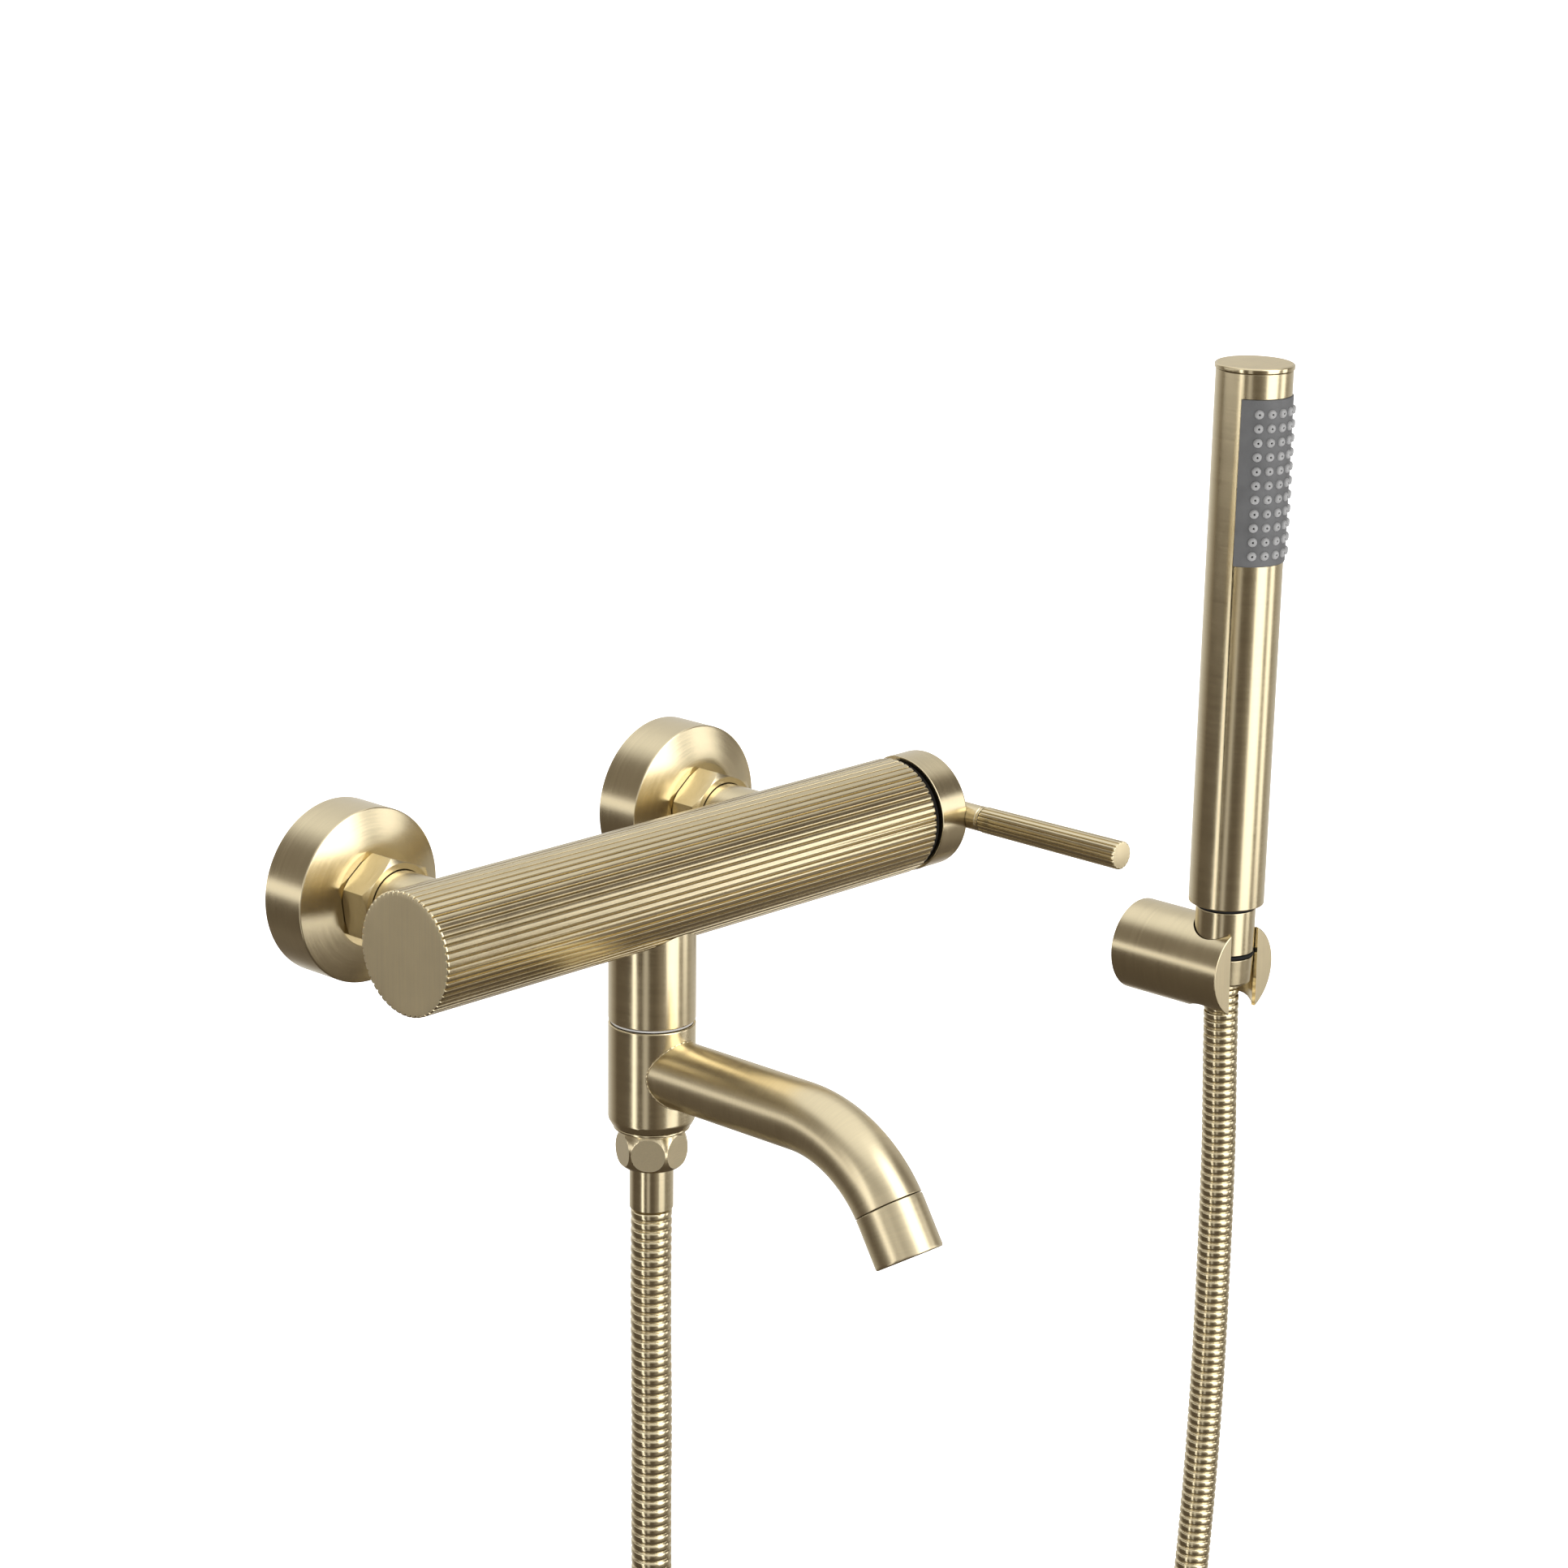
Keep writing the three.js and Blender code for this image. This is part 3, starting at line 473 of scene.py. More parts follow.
def brushed_metal(
    name, colour, place, grain, rough=0.24, fine=1.6, slow=0.04, relief=0.06, along="Z",
    stretch=0.0, groove_shade_radii=None,
):
    """Brushed metal: fine lines in colour, gloss and relief, under slow cloudy variation.

    The groove radii are a pair: painted shade darkens the metal from the outer radius to the inner
    one, down into the grooves between ribs.
    """
    nodes = Nodes(name)
    if grain == "turned":
        lines = turned_grain(nodes, place, fine, slow)
    elif grain == "spout":
        lines = spout_grain(nodes, place, fine, slow)
    else:
        lines = straight_grain(nodes, place, fine, slow, along)
    streaks = nodes.noise(lines, 1.0, 3.0, 0.6)
    clouds = nodes.noise(nodes.local(place), 0.09, 3.0, 0.55)
    mixed = nodes.math("MULTIPLY_ADD", streaks, 0.6, nodes.math("MULTIPLY", clouds, 0.4))
    tone = nodes.colour(mixed, shaded(colour, 1 - TONE_SWING), shaded(colour, 1 + TONE_SWING))
    # Painted shade in the grooves: darker towards the inner radius.
    if groove_shade_radii:
        reach = polar(nodes, place)[3]
        height = nodes.add(
            "MapRange", reach, *groove_shade_radii, 0.0, 1.0, interpolation_type="SMOOTHSTEP"
        ).outputs[0]
        tone = nodes.blend(height, (*shaded(colour, GROOVE_SHADE), 1), tone)
    gloss = nodes.math(
        "ADD",
        nodes.spread(streaks, rough - STREAK_GLOSS_SWING, rough + STREAK_GLOSS_SWING),
        nodes.spread(clouds, -CLOUD_GLOSS_SWING, CLOUD_GLOSS_SWING),
    )
    nodes.set(Metallic=1.0, Base_Color=tone, Roughness=gloss, Anisotropic=stretch)
    nodes.bump(streaks, relief, 0.02)
    MATERIALS[name] = nodes.material


def moulded(name, colour, rough, grain=6.0, relief=0.2, contrast=0.12, coat=0.0, gloss=0.5):
    """Moulded plastic or rubber: a faint mottle and a fine pitted surface."""
    nodes = Nodes(name)
    here = nodes.local(WORLD)
    pits = nodes.noise(here, grain, 2.0, 0.6)
    clouds = nodes.noise(here, 0.15, 3.0, 0.5)
    nodes.set(
        Base_Color=nodes.colour(clouds, shaded(colour, 1 - contrast), shaded(colour, 1 + contrast)),
        Roughness=nodes.spread(pits, rough - 0.06, rough + 0.06),
        Coat_Weight=coat, Specular_IOR_Level=gloss,
    )
    nodes.bump(pits, relief, 0.03)
    MATERIALS[name] = nodes.material


def make_metals():
    for side, place in INLETS.items():
        brushed_metal("gold_inlet_" + side, GOLD, place, "turned")
        brushed_metal("brass_inlet_" + side, BRASS, place, "turned", 0.34, 3.0)
    brushed_metal("gold_cap", GOLD, BAR, "turned", 0.24, relief=0.09)
    # The body's rib grooves get painted shade.
    brushed_metal(
        "gold_ribs", GOLD, BAR, "straight", 0.2, 1.6, 0.02, 0.02, groove_shade_radii=(19.35, 19.9)
    )
    # End faces: gold brushed straight across, in a lighter copy of the gold that is painted light.
    brushed_metal(
        "gold_disc", shaded(GOLD, 1.12), WORLD, "straight", 0.45, 1.8, 0.04, 0.3, stretch=0.85
    )
    brushed_metal("gold_lever", GOLD, LEVER, "turned", 0.2, relief=0.03)
    # The grip's rib grooves get painted shade.
    brushed_metal(
        "gold_grip", GOLD, LEVER, "straight", 0.2, 1.6, 0.03, 0.02, groove_shade_radii=(4.15, 4.5)
    )
    brushed_metal("gold_stack", GOLD, STACK, "turned", 0.21, relief=0.04)
    brushed_metal("gold_facet", GOLD, STACK, "straight", 0.33, 1.8, 0.05, 0.15, along="X")
    brushed_metal("gold_spout", GOLD, STACK, "spout", 0.31, relief=0.05)
    brushed_metal("gold_holder", GOLD, HOLDER, "turned", 0.245, relief=0.09)
    brushed_metal("gold_slot", GOLD, WORLD, "straight", 0.34, 1.8, 0.04, 0.15)
    brushed_metal("gold_handset", GOLD, HANDSET, "turned", 0.22, relief=0.07)
    brushed_metal("gold_polished", GOLD, HANDSET, "turned", 0.15, relief=0.02)
    brushed_metal("gold_matte", GOLD, HANDSET, "straight", 0.42, along="X")
    brushed_metal("gold_hose", shaded(GOLD, 0.95), WORLD, "straight", 0.2, 1.2, 1.2, 0.03)
    brushed_metal("brass", BRASS, STACK, "turned", 0.34, 3.0)
    brushed_metal("steel", STEEL, WORLD, "straight", 0.3, 2.5, 2.5, 0.1)


def make_plastics():
    moulded("black_plastic", (0.008, 0.007, 0.006), 0.6, gloss=0.08)
    moulded("black_rubber", (0.01, 0.01, 0.01), 0.55, 4.0, 0.25, gloss=0.15)
    moulded("white_plastic", (0.5, 0.49, 0.47), 0.42, 5.0, 0.1, 0.04)
    moulded("ceramic", (0.85, 0.84, 0.8), 0.18, 5.0, 0.05, 0.03, 0.3)
    moulded("silicone", (0.088, 0.089, 0.091), 0.5, 5.0, 0.35, 0.1)
    moulded("nozzle_silicone", (0.25, 0.25, 0.25), 0.45, 5.0, 0.2, 0.06)


def finish(thing, looks, body, slot, *nodes):
    """Gives a piece its material, the body it moves with and the CAD nodes it stands for."""
    if not thing.data.materials:
        thing.data.materials.append(material(looks))
    if body:
        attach(thing, body)
    if nodes:
        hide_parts(*nodes)
    return thing


def paint_faces(thing, looks, chosen):
    """A second material on the faces whose centre and normal, in metres, are chosen."""
    thing.data.materials.append(material(looks))
    index = len(thing.data.materials) - 1
    for face in thing.data.polygons:
        if chosen(face.center, face.normal):
            face.material_index = index


# ---- wall connections ----

def flange_profile():
    apex, dome = -22.1, 91.4
    front = [
        (radius, apex + dome - math.sqrt(dome ** 2 - radius ** 2), 0)
        for radius in (28, 26, 23.5, 21, 18.5, 16.6)
    ]
    return [
        (29.3, 0, 0.2), (29.3, -17.3, 0.45), *front, (16.3, -20.5, 0), (12.8, -20.5),
        (12.8, -18.2), (27, -14.4), (27, 0, 0.2),
    ]


def thread(radius, start, end, pitch, depth):
    """Profile corners of a screw thread, drawn as rings."""
    corners = []
    for turn in range(int(abs(end - start) / pitch)):
        base = start + math.copysign(turn * pitch, end - start)
        for share, drop in ((0.1, depth), (0.4, 0), (0.6, 0), (0.9, depth)):
            corners.append((radius - drop, base + math.copysign(share * pitch, end - start), 0.1))
    return corners


def union(name, place):
    """Eccentric union: its wall thread sits lower than the nut's thread."""
    offset, depth = 8, 16
    nut_thread = thread(12.2, -24.7, -10, 1.8, 0.8)
    nut_side = turned(name, [(0, -24.7), *nut_thread, (12, -10), (0, -10)], place)
    lower = place @ Matrix.Translation((0, offset, 0))
    wall_thread = thread(10.4, -8, depth, 1.8, 0.8)
    wall_side = turned(
        "tool", [(0, -15), (10.4, -15), *wall_thread, (9.4, depth), (0, depth)], lower
    )
    carve(nut_side, wall_side, operation="UNION")
    return carve(nut_side, rod(7, -26, -11.5, place), rod(6, -12.8, depth + 1, lower))


def hexagon(name, corner, first, low, high, place):
    """Hexagonal bar with its corners at a distance from the local Z axis."""
    corners = [
        (corner * math.cos(first + turn), corner * math.sin(first + turn))
        for turn in np.arange(6) * math.pi / 3
    ]
    points = [(x, y, z) for z in (low, high) for x, y in corners]
    sides = [(a, (a + 1) % 6, (a + 1) % 6 + 6, a + 6) for a in range(6)]
    return add_mesh(name, moved(place, points), [tuple(range(6)), tuple(range(6, 12)), *sides])


def union_nut(name, place):
    """Hexagon nut with turned chamfers."""
    nut = hexagon(name, 15.9, math.radians(-98), -32.2, -20.8, place)
    barrel = [
        (0, -33), (13.9, -33), (13.9, -32.2), (15.9, -30.9), (16.4, -30), (16.4, -22.9),
        (15.9, -22), (14.2, -20.8), (14.2, -20), (0, -20),
    ]
    carve(nut, turned("tool", barrel, place, 96, 0), operation="INTERSECT")
    carve(nut, rod(12.55, -29.4, -19, place), rod(11.95, -34, -19, place))
    return soften(nut, 0.3)


def add_wall_connections():
    for side, place in INLETS.items():
        gold = "gold_inlet_" + side
        flange = shade(turned("flange_" + side, flange_profile(), place, 144, 0.3))
        finish(flange, gold, "fixed", "gold", "wall_flange_" + side)
        nut = shade(union_nut("hexagon_nut_" + side, place))
        finish(nut, gold, "fixed", "gold", "union_nut_" + side)
        pipe = turned(
            "inlet_pipe_" + side,
            [
                (5.5, -66, 0), (11.6, -66, 0), (11.6, -29.1, 0.2), (12.2, -29.1), (12.2, -27),
                (5.5, -27),
            ],
            place, 96,
        )
        shade(carve(pipe, rod(COPE_RADIUS, -95, 95, BAR, 208)))
        finish(pipe, gold, "fixed", "gold", "inlet_tube_" + side)
        eccentric = shade(union("eccentric_union_" + side, place))
        finish(eccentric, "brass_inlet_" + side, "fixed", "raw_brass", "s_union_" + side)


# ---- body, shroud, cap and lever ----

RIB = [
    (0, 0.92), (0.045, 0.86), (0.09, 0.58), (0.125, 0.28), (0.16, 0.12), (0.21, 0.05),
    (0.33, 0.015), (0.5, 0), (0.67, 0.015), (0.79, 0.05), (0.84, 0.12), (0.875, 0.28),
    (0.91, 0.58), (0.955, 0.86),
]


def ribbed(name, stations, ribs, depth, place, inner):
    """A ribbed bar: stations of radius and height along local Z, then plain inner corners."""
    shape = [
        ((rib + share) / ribs * 2 * math.pi, drop * depth)
        for rib in range(ribs) for share, drop in RIB
    ]
    rings = []
    for radius, height, full in stations:
        for angle, drop in shape:
            reach = radius - drop * full
            rings.append((reach * math.cos(angle), reach * math.sin(angle), height))
    for radius, height in inner:
        for angle, _ in shape:
            rings.append((radius * math.cos(angle), radius * math.sin(angle), height))
    count = len(stations) + len(inner)
    return add_mesh(name, moved(place, rings), ring_faces(count, len(shape), False))


def fluted_body():
    outer = [
        (BODY_RADIUS - 0.45, BODY_LEFT, 0.55), (BODY_RADIUS - 0.18, BODY_LEFT + 0.1, 0.8),
        (BODY_RADIUS - 0.04, BODY_LEFT + 0.32, 0.95), (BODY_RADIUS, BODY_LEFT + 0.6, 1),
        (BODY_RADIUS, BODY_RIGHT - 0.6, 1), (BODY_RADIUS - 0.04, BODY_RIGHT - 0.32, 0.95),
        (BODY_RADIUS - 0.18, BODY_RIGHT - 0.1, 0.8), (BODY_RADIUS - 0.45, BODY_RIGHT, 0.55),
    ]
    bore = [(18.6, BODY_RIGHT), (14.5, BODY_RIGHT), (14.3, BODY_RIGHT - 0.2), (14.3, 84), (0, 84)]
    stations = [(0, BODY_LEFT, 0), (18.2, BODY_LEFT, 0), *outer]
    return ribbed("fluted_body", stations, BODY_RIBS, BODY_RIB_DEPTH, BAR, bore)


def add_body():
    body = fluted_body()
    inlets = [
        rod(7, depth, 24, across(BAR, "Y", (0, 0, x)), 48)
        for x, depth in ((-INLET_X, -4), (INLET_X, 5))
    ]
    outlet = rod(8, 5, 24, across(BAR, "X"), 48)
    carve(body, *inlets, outlet)
    shade(body, 30)
    body.data.materials.append(material("gold_ribs"))
    # The left end face takes the lighter end-face gold, which is painted light.
    left_face = (BODY_LEFT + 0.02) * MM
    paint_faces(body, "gold_disc", lambda centre, normal: centre.x < left_face and normal.x < -0.9)
    finish(body, "gold_ribs", "fixed", "gold", "body")
    shroud = turned("gap_ring", [
        (12.6, 113), (14, 113), (14, 118.3), (19.3, 118.3, 0.2), (19.3, 120.4, 0.2), (9.9, 120.4),
        (7.8, 121.1), (7.8, 119.5),
    ], BAR, 128)
    finish(shade(shroud), "black_plastic", "fixed", "black_plastic", "shroud")


def cap_dome(radius):
    return CAP_DOME_CENTRE + math.sqrt(CAP_DOME_RADIUS ** 2 - radius ** 2)


def add_cap():
    dome = [(radius, cap_dome(radius), 0) for radius in (2, 4, 6, 8, 10, 12, 14, 16, 18, 19.2)]
    cap = turned("cap_shell", [
        (0, cap_dome(0)), *dome, (20.4, 133.7, 0.5), (20.4, 121.3, 0.35), (17.4, 121.3, 0.2),
        (17.4, 130.4), (7, 130.4), (7, 123.6), (0, 123.6),
    ], BAR, 144)
    relief = block(
        (-40, 40), (-40, 40), (-80, 0),
        BAR @ Matrix.Translation((0, 0, PIVOT_X)) @ Matrix.Rotation(FLOW_ANGLE, 4, "X")
        @ Matrix.Translation((0, 0, SHROUD_REACH)),
    )
    carve(
        cap,
        relief,
        block((-2.8, 2.8), (-2.8, 2.8), (123, 131.4), BAR),
        rod(4.62, -25, -14.2, across(BAR, "Y", (0, 0, LEVER_X))),
        rod(2.8, -15, -6.2, across(BAR, "Y", (0, 0, LEVER_X))),
        rod(2.5, 2, 22, across(BAR, "X", (0, 0, SET_SCREW_X))),
    )
    finish(shade(soften(cap, 0.2, 35)), "gold_cap", "lever", "gold", "cap")


def add_lever():
    neck = turned("neck", [
        (0, -6.5), (2.5, -6.5), (2.5, -14.5), (4.45, -14.5, 0.1), (4.45, -24.4, 0.1),
        (4.2, -24.6, 0.1), (4.2, -24.9, 0.1), (4.45, -25.1, 0.1), (4.45, -25.7, 0.15),
        (2.8, -25.7), (2.8, -20), (0, -20),
    ], LEVER, 72)
    finish(shade(neck), "gold_lever", "lever", "gold", "lever_neck")
    start, tip = -26.0, -87.1
    outer = [
        (4.2, start, 0.2), (4.47, start - 0.12, 0.5), (4.62, start - 0.45, 0.9),
        (4.65, start - 0.9, 1), (4.95, tip + 0.9, 1), (4.92, tip + 0.45, 0.9),
        (4.77, tip + 0.12, 0.5), (4.5, tip, 0.2),
    ]
    stud = [(0, -20.3, 0), (2.45, -20.3, 0), (2.45, start, 0)]
    grip = ribbed("ribbed_grip", [*stud, *outer], GRIP_RIBS, GRIP_RIB_DEPTH, LEVER, [(0, tip)])
    shade(grip, 34)
    grip.data.materials.append(material("gold_grip"))
    # The grip's end face takes the lighter end-face gold, which is painted light.
    paint_faces(grip, "gold_disc", lambda centre, normal: normal.y < -0.95 and centre.y < -0.159)
    finish(grip, "gold_grip", "lever", "gold", "lever_grip")


# ---- outlet stack and spout ----

def add_stack():
    cope = rod(COPE_RADIUS, -30, 30, BAR, 208)
    stub = turned("outlet_pipe", [
        (10.3, -46.2), (STACK_RADIUS, -46.2, 0.4), (STACK_RADIUS, -8, 0), (10.3, -8, 0),
    ], STACK, 120)
    finish(shade(carve(stub, cope)), "gold_stack", "fixed", "gold", "outlet_stub")
    washer = turned("seam_washer", [
        (10.3, -47.1), (13.95, -47.1), (13.95, -46.5), (10.3, -46.5),
    ], STACK, 120, 0.1)
    finish(shade(washer), "white_plastic", "fixed", "white_plastic", "slide_washer")
    body = turned("swivel_body", [
        (10.3, -47.4), (STACK_RADIUS, -47.4, 0.4), (STACK_RADIUS, -80.9, 0.6), (13.4, -83.2, 0.3),
        (9.6, -83.2), (9.6, -79.5), (10.3, -79.5),
    ], STACK, 120)
    carve(
        body,
        rod(8, -16, 0, across(STACK, "Y", (0, 0, SPOUT_Z))),
        rod(1.7, 9, 16, across(STACK, "Y", (0, 0, GRUB_SCREW_Z)), 24),
    )
    finish(shade(body), "gold_stack", "spout", "gold", "spout_body")
    nipple = turned("outlet_collar", [
        (6.9, -80), (9.3, -80), (9.3, -83.5), (12.93, -83.5, 0.3), (12.93, -84.3, 0.15),
        (12.6, -84.5, 0.15), (9, -84.5), (9, -91.6), (5, -91.6), (5, -90.9), (6.9, -90.9),
    ], STACK, 112)
    finish(shade(nipple), "gold_stack", "spout", "gold", "outlet_nipple")


def weld_line(name):
    """The thin uneven bead where the spout meets its body."""
    turns, sides = 180, 8
    points = []
    for step in range(turns):
        angle = step / turns * 2 * math.pi
        wobble = 0.05 * math.sin(23 * angle) + 0.04 * math.sin(57 * angle + 1)
        x = (SPOUT_RADIUS + WELD_LIFT) * math.sin(angle)
        y = -math.sqrt((STACK_RADIUS + WELD_LIFT) ** 2 - x * x)
        z = SPOUT_Z + (SPOUT_RADIUS + WELD_LIFT) * math.cos(angle)
        points.append(Vector((x, y, z + wobble)))
    rings = []
    for step, here in enumerate(points):
        ahead = (points[(step + 1) % turns] - points[step - 1]).normalized()
        level = Vector((0, 0, 1)) if abs(ahead.z) < 0.9 else Vector((1, 0, 0))
        side = ahead.cross(level).normalized()
        up = ahead.cross(side)
        thick = WELD_RADIUS + 0.07 * math.sin(41 * step / turns * 2 * math.pi)
        for turn in range(sides):
            angle = turn / sides * 2 * math.pi
            rings.append(here + thick * (math.cos(angle) * side + math.sin(angle) * up))
    return add_mesh(name, moved(STACK, rings), ring_faces(turns, sides, True))


def add_spout():
    tube = swept("spout_pipe", [
        (9.9, 0, 0), (SPOUT_RADIUS, 0, 0), (SPOUT_RADIUS, SEAM_TRAVEL, 0.2),
        (9.9, SEAM_TRAVEL, 0.2),
    ], STACK, 96)
    carve(tube, rod(STACK_RADIUS - 0.03, -80, -46, STACK, 120))
    finish(shade(tube), "gold_spout", "spout", "gold", "spout_tube")
    tip = END_TRAVEL + AERATOR_LENGTH
    start = SEAM_TRAVEL + 0.3
    housing = swept("aerator_shell", [
        (8.8, start), (SPOUT_RADIUS, start, 0.25), (SPOUT_RADIUS, tip, 1.0), (10, tip, 0.4),
        (10, END_TRAVEL + 3), (8.8, END_TRAVEL + 3),
    ], STACK, 96)
    finish(shade(housing), "gold_spout", "spout", "gold", "aerator_housing")
    finish(shade(weld_line("spout_seam"), 80), "gold_polished", "spout", "gold")


def add_aerator():
    """Plastic jet insert: a ring round a plate with hexagonal jets."""
    face = AERATOR_LENGTH - 0.8
    insert = turned("jet_insert", [
        (0, 5), (9.6, 5), (9.6, face), (8.6, face), (8.6, face - 1.4), (0, face - 1.4),
    ], MOUTH, 72)
    jets, faces = [], []
    pitch, jet = 2.3, 0.95
    for row in range(-3, 4):
        for column in range(-3, 4):
            x, y = pitch * (column + 0.5 * row), pitch * 0.866 * row
            if math.hypot(x, y) > 7.4:
                continue
            first = len(jets)
            for height in (4, AERATOR_LENGTH):
                for corner in range(6):
                    angle = (corner + 0.5) * math.pi / 3
                    jets.append((x + jet * math.cos(angle), y + jet * math.sin(angle), height))
            faces += [tuple(range(first, first + 6)), tuple(range(first + 6, first + 12))]
            faces += [
                (first + a, first + (a + 1) % 6, first + (a + 1) % 6 + 6, first + a + 6)
                for a in range(6)
            ]
    carve(insert, add_mesh("tool", moved(MOUTH, jets), faces))
    finish(shade(insert), "white_plastic", "spout", "white_plastic", "aerator_insert")


# ---- hose and its two ends ----

def hose_nut_profile():
    middle, ball = -91.6, 12.2
    belly = [
        (math.sqrt(ball ** 2 - (height - middle) ** 2), height, 0)
        for height in (-85.4, -86.8, -88.2, -89.8, -91.6, -93.4, -94.8, -96)
    ]
    return [
        (9.3, -84.8), (10.4, -84.8, 0.2), *belly, (10.9, -96.9, 0), (10.1, -97.7, 0),
        (8.6, -98.3, 0), (7.8, -98.4, 0.1), (7.8, -94.9), (9.3, -94.9),
    ]


def add_hose_nut():
    nut = turned("facet_nut", hose_nut_profile(), STACK, 144, 0.2)
    first = HOSE_NUT_TURN + 0.5 * math.pi / 3
    corner = HOSE_NUT_FLAT / math.cos(math.pi / 6)
    carve(nut, hexagon("tool", corner, first, -101, -85, STACK), operation="INTERSECT")
    soften(nut, 0.16, 10)
    shade(nut, 40)
    nut.data.materials.append(material("gold_stack"))

    def on_facet(centre, normal):
        out = Vector((centre.x, centre.y - BODY_Y * MM, 0))
        return abs(normal.z) < 0.01 and abs(out.dot(normal) - HOSE_NUT_FLAT * MM) < 0.03 * MM

    paint_faces(nut, "gold_facet", on_facet)
    finish(nut, "gold_stack", "spout", "gold", "hose_nut")


def ferrule(name, tip, neck, head, place):
    return shade(turned(name, [
        (4.5, tip), (7.4, tip, 0.35), (7.4, neck), (9, neck), (9, head), (4.5, head),
    ], place, 80))


def smooth_route(points):
    """Centripetal Catmull-Rom curve through the points, as closely spaced points."""
    knots = 400
    points = [np.array(point, float) for point in points]
    points = [2 * points[0] - points[1], *points, 2 * points[-1] - points[-2]]
    line = []
    for index in range(1, len(points) - 2):
        p0, p1, p2, p3 = points[index - 1:index + 3]
        t0 = 0.0
        t1 = t0 + np.linalg.norm(p1 - p0) ** 0.5
        t2 = t1 + np.linalg.norm(p2 - p1) ** 0.5
        t3 = t2 + np.linalg.norm(p3 - p2) ** 0.5
        for t in np.linspace(t1, t2, knots, endpoint=False):
            a1 = (t1 - t) / (t1 - t0) * p0 + (t - t0) / (t1 - t0) * p1
            a2 = (t2 - t) / (t2 - t1) * p1 + (t - t1) / (t2 - t1) * p2
            a3 = (t3 - t) / (t3 - t2) * p2 + (t - t2) / (t3 - t2) * p3
            b1 = (t2 - t) / (t2 - t0) * a1 + (t - t0) / (t2 - t0) * a2
            b2 = (t3 - t) / (t3 - t1) * a2 + (t - t1) / (t3 - t1) * a3
            line.append((t2 - t) / (t2 - t1) * b1 + (t - t1) / (t2 - t1) * b2)
    line.append(points[-2])
    return np.array(line)


HOSE_RINGS = [
    (0, 6.3), (0.06, 6.36), (0.12, 6.72), (0.2, 6.9), (0.32, 6.98), (0.5, 7.0), (0.68, 6.98),
    (0.8, 6.9), (0.88, 6.72), (0.94, 6.36),
]


def add_hose():
    """Metal hose of interlocked rings; the path is its centre line."""
    line = smooth_route(HOSE_ROUTE)
    travel = np.concatenate([[0], np.cumsum(np.linalg.norm(np.diff(line, axis=0), axis=1))])
    rings = int(travel[-1] / HOSE_PITCH)
    pitch = travel[-1] / rings
    stations = [
        ((ring + share) * pitch, radius) for ring in range(rings) for share, radius in HOSE_RINGS
    ]
    stations.append((travel[-1], HOSE_RINGS[0][1]))
    places, radii = np.array(stations).T
    centres = np.stack([np.interp(places, travel, line[:, axis]) for axis in range(3)], axis=1)
    ahead = np.gradient(centres, axis=0)
    ahead /= np.linalg.norm(ahead, axis=1)[:, None]
    sides = 28
    angles = np.arange(sides) / sides * 2 * math.pi
    side = np.cross(ahead[0], (0, 1, 0))
    points = []
    for centre, direction, radius in zip(centres, ahead, radii):
        side = side - direction * np.dot(side, direction)
        side /= np.linalg.norm(side)
        up = np.cross(direction, side)
        circle = np.outer(np.cos(angles), side) + np.outer(np.sin(angles), up)
        points.append(centre + radius * circle)
    faces = ring_faces(len(stations), sides, False)
    last = (len(stations) - 1) * sides
    faces += [tuple(range(sides))[::-1], tuple(range(last, last + sides))]
    hose = add_mesh("metal_hose", np.concatenate(points), faces)
    shade(hose, 75)
    hose.data.materials.append(material("gold_hose"))
    bake(hose)
    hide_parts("hose")
    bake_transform(hose)
    mixer_end = ferrule("ferrule_mixer", -113.2, -94.6, -93.5, STACK)
    finish(mixer_end, "gold_stack", "fixed", "gold", "hose_ferrule_mixer")
    handset_end = ferrule("ferrule_handset", -8, 3.3, 4.8, HANDSET)
    finish(handset_end, "gold_handset", "hose_end", "gold", "hose_ferrule_handset")


# ---- wall holder ----

def add_holder():
    front = turned("holder_cup", [
        (0, HOLDER_FRONT), (HOLDER_RADIUS, HOLDER_FRONT, 0.45), (HOLDER_RADIUS, 0, 0.35), (14, 0),
        (14, -8.7), (0, -8.7),
    ], HOLDER, 144)
    carve(
        front,
        rod(12.4, -30, 30, HANDSET, 96),
        block((-8.6, 8.6), (-30, 30), (HOLDER_FRONT - 8, HOLDER_BORE_Y), HOLDER),
        rod(1.8, 10, 25, across(HOLDER, "Y", (0, 0, HOLDER_GRUB_DEPTH)), 24),
    )
    soften(front, 0.4, 30)
    shade(front, 34)
    front.data.materials.append(material("gold_holder"))
    face_at = (HOLDER_FRONT + 0.05) * MM
    paint_faces(front, "gold_slot", lambda centre, normal: normal.y < -0.95 and centre.y < face_at)
    finish(front, "gold_holder", "fixed", "gold", "holder_body")
    bracket = turned("bracket_plug", [
        (0, -8.4), (13.7, -8.4), (13.7, 0), (0, 0),
    ], HOLDER, 96)
    carve(
        bracket, rod(2.4, -10, 1, HOLDER, 32), rod(4.8, -10, -5, HOLDER, 48),
        rod(1.8, 11.5, 15, across(HOLDER, "Y", (0, 0, HOLDER_GRUB_DEPTH)), 24),
    )
    finish(shade(bracket), "brass", "fixed", "raw_brass", "holder_bracket")
    screw = turned("wall_screw", [
        (0, -8.2), (4.4, -8.2, 0.5), (4.4, -7.2, 0.3), (2.1, -5.3),
        *thread(2.1, -4, 9, 1.6, 0.5), (1.4, 9.5), (0, 12),
    ], HOLDER, 48)
    carve(
        screw,
        block((-2.6, 2.6), (-0.45, 0.45), (-10, -6.6), HOLDER),
        block((-0.45, 0.45), (-2.6, 2.6), (-10, -6.6), HOLDER),
    )
    finish(shade(screw), "steel", "fixed", "steel", "holder_screw")


# ---- hand shower ----

